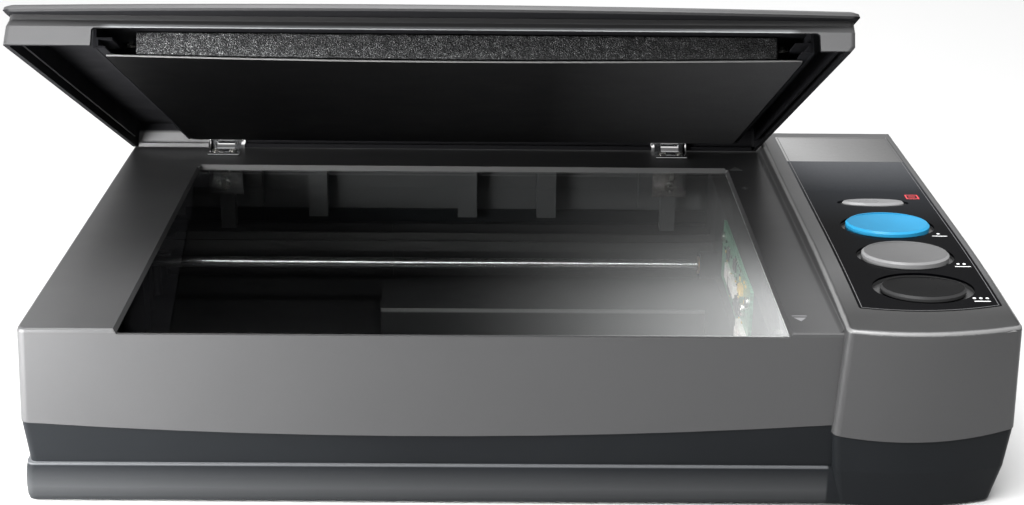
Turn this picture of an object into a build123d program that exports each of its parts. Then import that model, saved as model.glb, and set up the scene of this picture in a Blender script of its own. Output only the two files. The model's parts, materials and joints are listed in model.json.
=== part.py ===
"""Flatbed scanner with an open cover: every separate piece as its own STEP file.

Axes: +X to the right along the width, +Y from the front to the back, +Z up from the table.
The pieces are drawn with y = 0 at the front edge of the flat bed and shifted by SHIFT_Y on saving,
so that the origin is under the middle of the whole scanner.
"""
import math
import os

from build123d import *

os.makedirs("parts", exist_ok=True)

# ---------------------------------------------------------------- driving dimensions (mm)
LEFT_X, RIGHT_X = -229.8, 226.5  # overall width
BED_TOP = 87.0                   # height of the flat bezel
BED_BACK = 277.0                 # outer limit of the bed's back wall
BACK_Y = 280.0                   # back of the button column
FRONT_Y = -8.0                   # most forward point of the button column
SHIFT_Y = -(BACK_Y + FRONT_Y) / 2
SHIFT_X = -(LEFT_X + RIGHT_X) / 2
WALL = 2.5
FLOOR_Z = 4.0
UNDERSIDE_Z = 1.5
COL_TOP = 95.0                   # height of the button column
COL_BEND_Y = 110.0               # the column top bends down in front of this line
COL_BEND_R = 1700.0
SEAM_GAP = 0.35                  # open joint line between the two housings

GLASS_X0, GLASS_X1 = -182.7, 119.6
GLASS_Y0, GLASS_Y1 = 1.75, 231.0
GLASS_TOP, GLASS_T = 85.0, 3.0

INLAY_X0, INLAY_X1 = 153.5, 220.0
INLAY_Y1 = 270.5
INLAY_JOIN_Y = 224.5
INLAY_T = 1.2
BTN_X = 188.0
BUTTONS = {
    "silver": (154.5, 16.5, 4.6, 0.9, 19.1, 5.9),
    "blue": (119.0, 21.4, 15.8, 2.0, 24.0, 17.1),
    "grey": (78.0, 21.4, 15.8, 2.0, 24.0, 17.1),
    "black": (39.6, 20.2, 14.4, 0.8, 24.0, 17.1),
}                                # y, half length, half width, stand above the inlay, half sizes of the well

PIVOT_Y, PIVOT_Z = 266.4, 92.0   # cover hinge line
LID_OPEN = 27.1                  # cover opening angle as drawn, degrees
LID_X0, LID_X1 = -228.0, 145.6
LID_BOTTOM, LID_TOP = 87.4, 105.0
LID_BACK_R = 4.6
HINGE_X = (-172.0, 90.0)
HINGE_W = 18.0
PIN_R = 1.1

ROD_Y, ROD_Z, ROD_R = 178.0, 47.2, 3.0
SADDLES = ((-219.0, -207.0), (204.5, 216.5))
CAR_X0, CAR_X1 = 112.0, 175.0
CAR_Y0, CAR_Y1 = 8.0, 250.0
CAR_Z0, CAR_Z1 = 33.0, 80.0
TRAVEL = 296.0

PULLEY = (196.0, 222.0)
IDLER = (-205.0, 222.0)
BELT_R = 6.0
BELT_Z0, BELT_Z1 = 40.0, 46.0
MODULE = 0.8
GEAR_TEETH, PINION_TEETH = 36, 12
GEAR_Z0, GEAR_Z1 = 30.0, 35.0
MOTOR = (PULLEY[0], PULLEY[1] - MODULE * (GEAR_TEETH + PINION_TEETH) / 2)


# ---------------------------------------------------------------- small helpers
def box(x0, x1, y0, y1, z0, z1):
    return Pos((x0 + x1) / 2, (y0 + y1) / 2, (z0 + z1) / 2) * Box(x1 - x0, y1 - y0, z1 - z0)


def rbox(x0, x1, y0, y1, z0, z1, r):
    """Box with rounded upright edges."""
    flat = Pos((x0 + x1) / 2, (y0 + y1) / 2, z0) * RectangleRounded(x1 - x0, y1 - y0, r)
    return extrude(flat, amount=z1 - z0)


def cyl_z(x, y, z0, z1, r):
    return Pos(x, y, (z0 + z1) / 2) * Cylinder(r, z1 - z0)


def cyl_x(x0, x1, y, z, r):
    return Pos((x0 + x1) / 2, y, z) * Rot(0, 90, 0) * Cylinder(r, x1 - x0)


def cyl_y(x, y0, y1, z, r):
    return Pos(x, (y0 + y1) / 2, z) * Rot(90, 0, 0) * Cylinder(r, y1 - y0)


def prism_x(points, x0, x1):
    """Extrude a closed outline of (y, z) points along X."""
    wire = Polyline(*[(x0, y, z) for y, z in points], close=True)
    return extrude(make_face(wire), amount=x1 - x0, dir=(1, 0, 0))


def prism_y(points, y0, y1):
    """Extrude a closed outline of (x, z) points along Y."""
    wire = Polyline(*[(x, y0, z) for x, z in points], close=True)
    return extrude(make_face(wire), amount=y1 - y0, dir=(0, 1, 0))


def prism_z(points, z0, z1):
    """Extrude a closed outline of (x, y) points along Z."""
    wire = Polyline(*[(x, y, z0) for x, y in points], close=True)
    return extrude(make_face(wire), amount=z1 - z0, dir=(0, 0, 1))


def ellipse_z(x, y, z0, z1, a, b):
    return extrude(Pos(x, y, z0) * Ellipse(a, b), amount=z1 - z0)


def join(shapes):
    out = shapes[0]
    for shape in shapes[1:]:
        out = out + shape
    return out


def save(name, shape):
    solids = [Pos(SHIFT_X, SHIFT_Y, 0) * solid for solid in shape.solids()]
    export_step(solids[0] if len(solids) == 1 else Compound(children=solids), f"parts/{name}.step")


def opened(shape):
    """Turn a cover piece, drawn with the cover shut, about the hinge pins."""
    return Pos(0, PIVOT_Y, PIVOT_Z) * Rot(-LID_OPEN, 0, 0) * Pos(0, -PIVOT_Y, -PIVOT_Z) * shape


def screw_z(x, y, z_head, r_head, r_shank, length, up=True):
    """Pan head screw on an upright axis: the head sits on z_head and the shank runs away from it."""
    s = 1 if up else -1
    z0, z1 = sorted((z_head, z_head + s * 1.4))
    head = cyl_z(x, y, z0, z1, r_head)
    slot = box(x - r_head, x + r_head, y - 0.35, y + 0.35, z_head + s * 0.9 - 0.5, z_head + s * 0.9 + 0.5)
    if up:
        slot = box(x - r_head * 0.7, x + r_head * 0.7, y - 0.35, y + 0.35, z1 - 0.6, z1 + 1)
        cross = box(x - 0.35, x + 0.35, y - r_head * 0.7, y + r_head * 0.7, z1 - 0.6, z1 + 1)
    else:
        slot = box(x - r_head * 0.7, x + r_head * 0.7, y - 0.35, y + 0.35, z0 - 1, z0 + 0.6)
        cross = box(x - 0.35, x + 0.35, y - r_head * 0.7, y + r_head * 0.7, z0 - 1, z0 + 0.6)
    s0, s1 = sorted((z_head, z_head - s * length))
    return head - slot - cross + cyl_z(x, y, s0, s1, r_shank)


# ---------------------------------------------------------------- housing masses
def bed_section(z, inset, right=165.0):
    x0, x1 = LEFT_X - 0.4 + inset, right
    y0, y1 = -2.6 + inset, BED_BACK - inset
    return Pos((x0 + x1) / 2, (y0 + y1) / 2, z) * RectangleRounded(x1 - x0, y1 - y0, 4.0)


def bed_mass(levels, extra=0.0, ruled=True):
    return loft([bed_section(z, inset + extra) for z, inset in levels], ruled=ruled)


def column_section(z, left, right, front_left, front_mid, front_right, extra=0.0):
    x0, x1 = left + extra, right - extra
    xm = (x0 + x1) / 2 - 2
    y1 = BACK_Y - extra
    a = (x0, front_left + extra, z)
    m = (xm, front_mid + extra, z)
    b = (x1, front_right + extra, z)
    sides = Polyline(b, (x1, y1, z), (x0 + 9, y1, z), (x0, y1 - 9, z), a)
    face = make_face(sides + ThreePointArc(a, m, b))
    corners = face.vertices().sort_by(Axis.Y)[0:2]
    return fillet(corners, 4.0)


UPPER_LEVELS = [(30.0, 0.3), (85.3, 2.6), (86.4, 2.95), (87.0, 3.8)]
BAND_LEVELS = [(20.0, 2.8), (46.0, 0.6)]
SKIRT_LEVELS = [(UNDERSIDE_Z, 1.0), (3.5, 0.55), (8.0, 0.4), (13.0, 0.6), (17.0, 1.0), (20.0, 1.5)]
COLUMN_UPPER = [(32.0, 141.2, 226.5, -5.0, -8.0, 0.0), (98.0, 144.6, 224.0, -5.0, -8.0, 0.0)]
COLUMN_LOWER = [
    (46.0, 141.0, 226.5, -5.0, -8.0, 0.0),
    (20.0, 143.4, 223.8, -4.2, -6.6, 1.2),
    (UNDERSIDE_Z, 146.4, 219.8, -1.6, -3.8, 3.6),
]


def column_mass(levels, extra=0.0):
    return loft([column_section(*level, extra=extra) for level in levels], ruled=True)


def column_under_top(offset):
    """Everything below the arched top of the column, lowered by offset."""
    z1 = COL_TOP - offset
    z_front = z1 - (COL_BEND_Y + 20) ** 2 / (2 * COL_BEND_R)
    z_mid = z1 - ((COL_BEND_Y + 20) / 2) ** 2 / (2 * COL_BEND_R)
    y_mid = (COL_BEND_Y - 20) / 2
    line = Polyline((100, COL_BEND_Y, z1), (100, 300, z1), (100, 300, 0), (100, -20, 0), (100, -20, z_front))
    arc = ThreePointArc((100, -20, z_front), (100, y_mid, z_mid), (100, COL_BEND_Y, z1))
    return extrude(make_face(line + arc), amount=150, dir=(1, 0, 0))


def below_seam(gap):
    """Region under the bowed joint line between lower and upper housing."""
    def half(x0, x1, z0, zm, z1):
        ends = Polyline((x1, -30, z1 + gap), (x1, -30, -5), (x0, -30, -5), (x0, -30, z0 + gap))
        bow = ThreePointArc((x0, -30, z0 + gap), ((x0 + x1) / 2, -30, zm + gap), (x1, -30, z1 + gap))
        return extrude(make_face(ends + bow), amount=330, dir=(0, 1, 0))
    return half(-240, 141.4, 41.8, 35.2, 41.8) + half(141.4, 240, 38.3, 36.6, 42.6)


def cove():
    """Soft inside curve where the bezel meets the column."""
    x0, x1, z1 = 141.9, 144.15, 89.2
    y0 = 1.8
    corner = Polyline((x0, y0, BED_TOP), (146, y0, BED_TOP), (146, y0, z1), (x1, y0, z1))
    arc = ThreePointArc((x1, y0, z1), (x1 - 0.69, y0, BED_TOP + 0.69), (x0, y0, BED_TOP))
    return extrude(make_face(corner + arc), amount=BED_BACK - 7, dir=(0, 1, 0))


def rear_ribs():
    """Three stiffening ribs and two hinge posts inside the back wall."""
    parts = []
    for x in (-118.9, -29.6, 17.7):
        parts += [box(x - 5.7, x + 5.7, 262, 273.5, 47.5, 85.5), box(x - 5.7, x + 5.7, 262, 269.6, 43.6, 47.6)]
    for x in HINGE_X:
        parts += [box(x - 4.3, x + 4.3, 256, 273.5, 47.5, 85.5), box(x - 4.3, x + 4.3, 256, 264.5, 38.0, 47.6)]
        parts.append(box(x - 17, x + 20, 264, 273.5, 49.5, 85.5))
    return join(parts)


def inlay_outline(grow, y0, y1):
    """Plan of the column inlay, with its bowed front edge, cut to a range of y."""
    x0, x1 = INLAY_X0 - grow, INLAY_X1 + grow
    front = -grow
    a, m, b = (x0, 17.0 + front, 60), (188, 14.0 + front, 60), (x1, 20.5 + front, 60)
    face = make_face(Polyline(b, (x1, INLAY_Y1 + grow, 60), (x0, INLAY_Y1 + grow, 60), a) + ThreePointArc(a, m, b))
    face = fillet(face.vertices(), 1.2 + grow)
    return extrude(face, amount=50) & box(100, 240, y0, y1, 50, 120)


def make_upper_housing():
    column = column_mass(COLUMN_UPPER) & column_under_top(0.0)
    rim = [e for e in column.edges() if e.bounding_box().min.Z > 88.0 and e.length > 8.0]
    column = fillet(rim, 2.2)
    outer = bed_mass(UPPER_LEVELS) + column + cove()
    outer = outer - below_seam(SEAM_GAP)
    bed_void = bed_mass([(20.0, 0.5), (BED_TOP - 2.0, 2.0)], extra=WALL)
    col_void = column_mass(COLUMN_UPPER, extra=WALL) & column_under_top(4.0)
    body = outer - bed_void - col_void
    body = body + (rear_ribs() & bed_mass(UPPER_LEVELS, extra=0.3))
    for x in HINGE_X:
        for z in (66.0, 73.0):
            body = body - cyl_y(x, 250, 263.5, z, 1.25)
        for dx in (-5.0, 5.0):
            body = body - cyl_z(x + dx, 254.5, 79, 90, 1.15)
    # opening for the glass, open to the front, with a bevel along its back and side edges
    body = body - box(GLASS_X0, GLASS_X1, GLASS_Y0, GLASS_Y1, 80, 90)
    body = body - box(GLASS_X0, GLASS_X1, -6, GLASS_Y0 + 1, 84.6, 90)
    body = body - box(GLASS_X0 - 5.3, GLASS_X1 + 5.3, GLASS_Y0, 236.1, GLASS_TOP - GLASS_T - 0.4, GLASS_TOP)
    bevel = [(GLASS_Y1 - 1, BED_TOP - 2), (GLASS_Y1, BED_TOP - 2), (GLASS_Y1 + 3.5, BED_TOP + 0.01), (GLASS_Y1 - 1, 88)]
    body = body - prism_x(bevel, GLASS_X0, GLASS_X1)
    for x, s in ((GLASS_X0, -1), (GLASS_X1, 1)):
        side = [(x - s, BED_TOP - 2), (x, BED_TOP - 2), (x + 1.4 * s, BED_TOP + 0.01), (x - s, 88)]
        body = body - prism_y(side, -6, GLASS_Y1)
    # recess for the inlay, button wells and guide holes
    recess = inlay_outline(0.15, 0, 300) & column_under_top(-5.0)
    body = body - (recess - column_under_top(INLAY_T + 0.1))
    for y, a, b, stand, well_a, well_b in BUTTONS.values():
        z_in = inlay_z(y) - 0.1 - INLAY_T
        body = body - ellipse_z(BTN_X, y, z_in - 1.5, 100, well_a, well_b)
        for dx in (-a * 0.45, a * 0.45):
            body = body - cyl_z(BTN_X + dx, y, 80, 100, 2.15)
    # bosses that take the case screws, clear of the scan head
    for x, y in CASE_SCREWS:
        if x < 0:
            boss = cyl_z(x, y, 44, 86.0, 4.0) & bed_mass([(30.0, 0.5), (86.0, 2.0)], 0.4)
        else:
            boss = cyl_z(x, y, 44, 95.0, 4.0) & column_mass(COLUMN_UPPER, 0.4) & column_under_top(1.8)
        body = body + (boss - cyl_z(x, y, 43, 62, 1.3))
    for y in (60.0, 140.0):
        for x in (162.0, 214.0):
            body = body + (cyl_z(x, y, 83.6, 92, 2.6) - cyl_z(x, y, 83, 89, 0.9))
    return body


def inlay_z(y):
    """Height of the arched column top at y."""
    if y >= COL_BEND_Y:
        return COL_TOP
    return COL_TOP - (COL_BEND_Y - y) ** 2 / (2 * COL_BEND_R)


def make_base_tray():
    bed_low = bed_mass(SKIRT_LEVELS) + bed_mass(BAND_LEVELS)
    col_low = column_mass(COLUMN_LOWER)
    outer = (bed_low + col_low) & below_seam(0.0)
    bed_in = bed_mass([(FLOOR_Z, 1.0), (9.0, 0.6), (20.0, 2.4), (60.0, 0.6)], extra=WALL)
    col_in = column_mass([(FLOOR_Z,) + COLUMN_LOWER[2][1:], (20.0,) + COLUMN_LOWER[1][1:], (60.0,) + COLUMN_LOWER[0][1:]], WALL)
    body = outer - bed_in - col_in
    # tongue that stands up inside the back wall of the upper housing
    body = body + box(-200, 140, 270.0, 272.3, 30, 45.5)
    body = body + box(-200, 140, 270.0, 275.0, 30, 35)
    # case screw towers
    for x, y in CASE_SCREWS:
        body = body + (cyl_z(x, y, FLOOR_Z - 0.5, 44, 4.2) & (bed_mass([(0.5, 1.0), (60.0, 0.6)], extra=0.5) + column_mass(COLUMN_LOWER, 0.5)))
        body = body - cyl_z(x, y, -1, 45, 1.6) - cyl_z(x, y, -1, 8, 3.2)
    # openings for the two sockets and cooling slots in the floor
    body = body - box(USB_X - 6.3, USB_X + 6.3, 262, 290, 15.6, 27.0)
    body = body - cyl_y(DC_X, 262, 290, 21.0, 4.6)
    for i in range(6):
        body = body - rbox(160 + i * 8, 163 + i * 8, 100, 150, 0, 6, 1.4)
    return body


def make_chassis_frame():
    """Thin floor sheet with the platform, rails, rod saddles and posts that stand on it."""
    z = FLOOR_Z
    frame = box(-217, 208, 13.2, 250, z, z + 0.3) + box(200, 215.5, 30, 250, z, z + 0.3)
    for i in range(6):
        frame = frame - rbox(160 + i * 8, 163 + i * 8, 100, 150, 0, 6, 1.4)
    # rear rail with a lengthwise web and a stiffening bead
    frame = frame + box(-211, 140, 249, 266.5, z, z + 0.3) + box(-211, 140, 265, 266.5, z, 38) + box(-211, 140, 265, 269.4, 36.5, 38)
    frame = frame + box(-77.2, -74.6, 263.6, 265.1, z, 38) + box(-82, -74.6, 263.6, 265.1, 36.6, 38)
    # raised platform, hollow below
    frame = frame + (rbox(-76, 103.8, 163.6, 207, z, 26, 1.5) - rbox(-74, 101.8, 165.6, 205, z + 0.5, 24, 1))
    # saddles under the two ends of the guide rod
    for x0, x1 in SADDLES:
        saddle = box(x0, x1, ROD_Y - 7, ROD_Y + 7, z, ROD_Z + 1)
        saddle = saddle - cyl_x(-230, 230, ROD_Y, ROD_Z, ROD_R) - box(x0, x1, ROD_Y - ROD_R, ROD_Y + ROD_R, ROD_Z, 60)
        frame = frame + saddle
    # front glide rail
    frame = frame + box(-214, 208, 16, 19, z, 30) + box(-214, 208, 14, 21, 28.5, 30)
    # posts for the drive bracket, the boards and the idler bracket
    for x, y in DRIVE_POSTS:
        frame = frame + (cyl_z(x, y, z, 26, 3.0) - cyl_z(x, y, 18, 27, 1.2))
    for x, y in BOARD_POSTS:
        frame = frame + (cyl_z(x, y, z, 14, 3.0) - cyl_z(x, y, 6, 15, 1.2))
    for x, y in IDLER_POSTS:
        frame = frame + (cyl_z(x, y, z, 36, 3.2) - cyl_z(x, y, 28, 37, 1.2))
    return frame


DRIVE_POSTS = ((180.0, 189.5), (212.0, 189.5), (180.0, 243.0), (212.0, 243.0))
BOARD_POSTS = ((154.0, 64.0), (212.0, 64.0), (154.0, 250.0), (212.0, 158.0))
IDLER_POSTS = ((-213.0, 210.0), (-213.0, 234.0))
CASE_SCREWS = ((-216.0, 262.0), (-216.0, 8.5), (216.0, 262.0), (214.0, 12.0))
USB_X, DC_X = 168.8, 156.2
FEET = ((-205.0, 22.0), (-205.0, 252.0), (200.0, 22.0), (200.0, 252.0))


# ---------------------------------------------------------------- fixed pieces
def make_inlay(y0, y1):
    plate = inlay_outline(0.0, y0, y1) & column_under_top(0.1)
    plate = plate - column_under_top(0.1 + INLAY_T)
    for y, a, b, stand, well_a, well_b in BUTTONS.values():
        plate = plate - ellipse_z(BTN_X, y, 80, 100, well_a, well_b)
    return plate


def make_button(y, a, b, stand):
    """Oval key with a flared rim and a dished top, on two guide stems with catch ends."""
    z1 = inlay_z(y) + stand
    z0 = inlay_z(y) - 0.1 - INLAY_T - 0.2
    cap = loft([Pos(BTN_X, y, z0) * Ellipse(a, b), Pos(BTN_X, y, z1 - 1.0) * Ellipse(a, b),
                Pos(BTN_X, y, z1) * Ellipse(a - 1.0, b - 1.0)], ruled=True)
    if b > 8:
        depth = 0.9
        r = ((a - 1.8) ** 2 + depth ** 2) / (2 * depth)
        dish = Pos(BTN_X, y, z1 - depth + r) * Sphere(r)
        cap = cap - (dish & ellipse_z(BTN_X, y, z1 - 2, z1 + 1, a - 1.8, b - 1.8))
    for dx in (-a * 0.45, a * 0.45):
        cap = cap + cyl_z(BTN_X + dx, y, SWITCH_TOP + 1.3, z0 + 0.1, 2.0)
        cap = cap + cyl_z(BTN_X + dx, y, SWITCH_TOP + 1.3, SWITCH_TOP + 2.1, 2.7)
    return cap


SWITCH_TOP = 85.6


def rack_teeth_circle(module, teeth, thin):
    """Outline of a spur gear with involute flanks."""
    r_pitch = module * teeth / 2
    r_base = r_pitch * math.cos(math.radians(20))
    r_tip = r_pitch + module * 0.9
    r_root = r_pitch - module * 1.25
    half_pitch = math.pi / (2 * teeth) - thin / r_pitch
    inv20 = math.tan(math.radians(20)) - math.radians(20)

    def half_angle(r):
        if r <= r_base:
            return half_pitch + inv20
        alpha = math.acos(r_base / r)
        return half_pitch + inv20 - (math.tan(alpha) - alpha)

    radii = [r_root, max(r_base, r_root + 0.05), r_pitch, (r_pitch + r_tip) / 2, r_tip]
    points = []
    for i in range(teeth):
        centre = 2 * math.pi * i / teeth
        for r in radii:
            points.append((r, centre - half_angle(r)))
        for r in reversed(radii):
            points.append((r, centre + half_angle(r)))
    return [(r * math.cos(t), r * math.sin(t)) for r, t in points]


def gear_disc(x, y, z0, z1, teeth, thin, turn):
    pts = rack_teeth_circle(MODULE, teeth, thin)
    disc = prism_z(pts, 0, z1 - z0)
    return Pos(x, y, z0) * Rot(0, 0, turn) * disc


def make_reduction_gear():
    x, y = PULLEY
    gear = gear_disc(x, y, GEAR_Z0, GEAR_Z1, GEAR_TEETH, 0.08, -90.0)
    gear = gear + cyl_z(x, y, GEAR_Z1 - 0.2, BELT_Z1 + 2.5, BELT_R - 0.1)
    gear = gear + cyl_z(x, y, BELT_Z0 - 1.8, BELT_Z0 - 0.4, BELT_R + 2) + cyl_z(x, y, BELT_Z1 + 0.4, BELT_Z1 + 1.8, BELT_R + 2)
    for i in range(6):
        t = math.radians(60 * i)
        gear = gear - cyl_z(x + 10 * math.cos(t), y + 10 * math.sin(t), GEAR_Z0 - 1, GEAR_Z1 + 1, 2.2)
    return gear - cyl_z(x, y, 20, 60, 1.56)


def make_pinion():
    x, y = MOTOR
    pinion = gear_disc(x, y, GEAR_Z0 - 0.5, GEAR_Z1 + 0.5, PINION_TEETH, 0.08, 90.0 + 180.0 / PINION_TEETH)
    return pinion - cyl_z(x, y, 20, 60, 1.06)


def make_idler_pulley():
    x, y = IDLER
    body = cyl_z(x, y, BELT_Z0 - 1.8, BELT_Z1 + 1.8, BELT_R - 0.1)
    body = body + cyl_z(x, y, BELT_Z0 - 1.8, BELT_Z0 - 0.4, BELT_R + 2) + cyl_z(x, y, BELT_Z1 + 0.4, BELT_Z1 + 1.8, BELT_R + 2)
    return body - cyl_z(x, y, 30, 60, 1.56)


def make_motor():
    x, y = MOTOR
    body = cyl_z(x, y, 7.0, 25.9, 15.4) + cyl_z(x, y, 25.5, 27.9, 4.5)
    ears = rbox(x - 20.5, x + 20.5, y - 4, y + 4, 24.7, 25.9, 3)
    for dx in (-18.0, 18.0):
        ears = ears - cyl_z(x + dx, y, 24, 27, 1.15)
    return body + ears + cyl_z(x, y, 27.5, 37.0, 1.0) + cyl_z(x, y, 5.6, 7.2, 5.0)


def make_motor_bracket():
    x, y = PULLEY
    plate = rbox(176.2, 216.5, 185.6, 247, 26.0, 28.0, 3)
    mx, my = MOTOR
    plate = plate - cyl_z(mx, my, 20, 30, 4.7)
    for px, py in DRIVE_POSTS:
        plate = plate - cyl_z(px, py, 20, 30, 1.5)
    for dx in (-18.0, 18.0):
        plate = plate - cyl_z(mx + dx, my, 20, 30, 1.4)
    return plate - cyl_z(x, y, 20, 30, 1.5)


def make_belt():
    x0, x1 = IDLER[0], PULLEY[0]
    y = PULLEY[1]
    outer = rbox(x0 - BELT_R - 1.2, x1 + BELT_R + 1.2, y - BELT_R - 1.2, y + BELT_R + 1.2, BELT_Z0, BELT_Z1, BELT_R + 1.19)
    return outer - rbox(x0 - BELT_R, x1 + BELT_R, y - BELT_R, y + BELT_R, BELT_Z0 - 1, BELT_Z1 + 1, BELT_R - 0.01)


def make_idler_bracket():
    x, y = IDLER
    plate = rbox(-219, -199, 205, 239, 36.0, 37.6, 2)
    for px, py in IDLER_POSTS:
        plate = plate - cyl_z(px, py, 30, 40, 1.4)
    return plate - cyl_z(x, y, 30, 40, 1.5)


def make_tension_spring():
    """Coil between the idler bracket and the left wall."""
    path = Helix(pitch=1.7, height=7.0, radius=1.9)
    wire = Plane(origin=path @ 0, z_dir=path % 0) * Circle(0.4)
    coil = sweep(wire, path, is_frenet=True)
    return Pos(-219.4, 222.0, 33.2) * Rot(0, 90, 0) * coil


def make_main_board():
    outline = [(150, 60), (217, 60), (217, 166), (175.5, 166), (175.5, 266), (150, 266)]
    board = prism_z(outline, 14.0, 15.6)
    for x, y in BOARD_POSTS:
        board = board - cyl_z(x, y, 13, 17, 1.5)
    return board


def make_board_chips():
    parts = []
    for x, y, w, d, h in ((184, 110, 20, 20, 1.6), (184, 140, 12, 8, 1.2), (160, 120, 8, 12, 1.2),
                          (205, 90, 8, 14, 1.4), (165, 160, 10, 6, 1.2)):
        parts.append(box(x - w / 2, x + w / 2, y - d / 2, y + d / 2, 15.6, 15.6 + h))
    for x, y in ((200, 150), (162, 190), (162, 200), (206, 120)):
        parts.append(cyl_z(x, y, 15.6, 24, 3.2))
    return Compound(children=parts)


def make_usb_socket():
    shell = box(USB_X - 6.0, USB_X + 6.0, 258, 275.5, 15.6, 26.6)
    mouth = prism_y([(USB_X - 4.4, 17.2), (USB_X + 4.4, 17.2), (USB_X + 4.4, 23.0), (USB_X + 2.8, 25.0),
                     (USB_X - 2.8, 25.0), (USB_X - 4.4, 23.0)], 260.5, 276)
    return shell - mouth


def make_usb_tongue():
    return box(USB_X - 2.8, USB_X + 2.8, 260.5, 273.5, 19.6, 22.4)


def make_dc_jack():
    body = box(DC_X - 5, DC_X + 5, 256, 270, 15.6, 26.4) + cyl_y(DC_X, 269.5, 276.5, 21.0, 4.4)
    return body - cyl_y(DC_X, 260, 277, 21.0, 2.9)


def make_dc_pin():
    return cyl_y(DC_X, 260.0, 274.5, 21.0, 0.9)


def make_button_board():
    board = box(158, 218, 25, 170, 82.0, 83.6)
    return board - join([cyl_z(x, y, 81, 85, 1.2) for x in (162.0, 214.0) for y in (60.0, 140.0)])


def make_switches():
    parts = []
    for y, a, b, stand, well_a, well_b in BUTTONS.values():
        for dx in (-a * 0.45, a * 0.45):
            x = BTN_X + dx
            parts.append(box(x - 3, x + 3, y - 3, y + 3, 83.6, 84.9) + cyl_z(x, y, 84.8, SWITCH_TOP, 1.4))
    return Compound(children=parts)


def make_ribbon():
    """Flat flexible cable: up from the main board, along the floor and back up to the sensor board."""
    w0, w1 = 64.0, 84.0
    y_mid = (w0 + w1) / 2
    path = [(151.3, 15.95), (146.0, 15.95), (143.0, 12.0), (141.0, 5.2), (120.0, 4.6), (30.0, 4.6), (20.0, 6.5),
            (17.0, 12.0), (20.0, 18.0), (30.0, 20.0), (92.0, 22.0), (103.0, 28.0), (107.2, 38.0), (107.6, 52.0)]
    line = [(x, z) for x, z in path]
    t = 0.35
    upper = []
    lower = []
    for i, (x, z) in enumerate(line):
        x0, z0 = line[max(i - 1, 0)]
        x1, z1 = line[min(i + 1, len(line) - 1)]
        d = math.hypot(x1 - x0, z1 - z0)
        nx, nz = -(z1 - z0) / d * t / 2, (x1 - x0) / d * t / 2
        upper.append((x + nx, z + nz))
        lower.append((x - nx, z - nz))
    return prism_y(upper + lower[::-1], w0, w1) & box(0, 200, y_mid - 10, y_mid + 10, 4.0, 60)


def make_hinge_base(x):
    """Lower leaf: a foot on the bezel with a rolled front edge and two knuckles round the pin."""
    h = HINGE_W / 2
    leaf = box(x - h, x + h, 250.5, 263.0, BED_TOP, BED_TOP + 1.2) + cyl_x(x - h, x + h, 250.6, BED_TOP + 1.1, 1.1)
    for s in (-1, 1):
        x0, x1 = sorted((x + s * 5.2, x + s * h))
        lug = [(257.5, BED_TOP), (266.4, BED_TOP), (268.3, PIVOT_Z - 1), (PIVOT_Y, PIVOT_Z + 2.2), (264.4, PIVOT_Z + 0.6)]
        leaf = leaf + prism_x(lug, x0, x1) + cyl_x(x0, x1, PIVOT_Y, PIVOT_Z, 2.2)
    for dx in (-5.0, 5.0):
        leaf = leaf - cyl_z(x + dx, 254.5, 80, 92, 1.2)
    return leaf - cyl_x(x - 20, x + 20, PIVOT_Y, PIVOT_Z, PIN_R)


def make_hinge_upper(x):
    """Upper leaf: middle knuckle and a plate screwed to the inside of the cover."""
    knuckle = cyl_x(x - 5.0, x + 5.0, PIVOT_Y, PIVOT_Z, 2.2)
    web = box(x - 5.0, x + 5.0, PIVOT_Y - 1.6, PIVOT_Y + 1.6, PIVOT_Z + 1.0, PIVOT_Z + 3.0)
    plate = box(x - 8.5, x + 8.5, 246.0, PIVOT_Y + 1.6, PIVOT_Z + 2.6, PIVOT_Z + 3.8)
    leaf = knuckle + web + plate - cyl_x(x - 20, x + 20, PIVOT_Y, PIVOT_Z, PIN_R + 0.05)
    for dx in (-5.0, 5.0):
        leaf = leaf - cyl_z(x + dx, 251.0, 90, 98, 1.2)
    return leaf


def make_backing_plates():
    """Steel plates that take the hinge load down into the posts of the back wall."""
    plates = []
    for x in HINGE_X:
        plate = box(x - 10, x + 10, 254.8, 256.0, 60, 79.8)
        for z in (66.0, 73.0):
            plate = plate - cyl_y(x, 250, 260, z, 1.5)
        plates.append(plate)
    return Compound(children=plates)


def screw_y(x, y, z):
    """Pan head screw seen from the front, with a cross slot."""
    head = cyl_y(x, y - 1.5, y, z, 2.7)
    head = head - box(x - 1.9, x + 1.9, y - 2, y - 0.9, z - 0.35, z + 0.35)
    head = head - box(x - 0.35, x + 0.35, y - 2, y - 0.9, z - 1.9, z + 1.9)
    return head + cyl_y(x, y - 0.1, y + 8, z, 1.2)


def make_hinge_screws():
    screws = []
    for x in HINGE_X:
        screws += [screw_z(x + dx, 254.5, BED_TOP + 1.2, 2.2, 1.1, 8.0) for dx in (-5.0, 5.0)]
        screws += [screw_y(x, 254.8, z) for z in (66.0, 73.0)]
    return Compound(children=screws)


def make_hinge_pin(x):
    h = HINGE_W / 2 + 0.8
    return cyl_x(x - h, x + h, PIVOT_Y, PIVOT_Z, PIN_R) + cyl_x(x - h - 0.6, x - h + 0.1, PIVOT_Y, PIVOT_Z, 1.8)


# ---------------------------------------------------------------- cover, drawn shut
NOTCH_X0, NOTCH_X1, NOTCH_Z = -189.5, 128.0, 95.6


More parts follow.
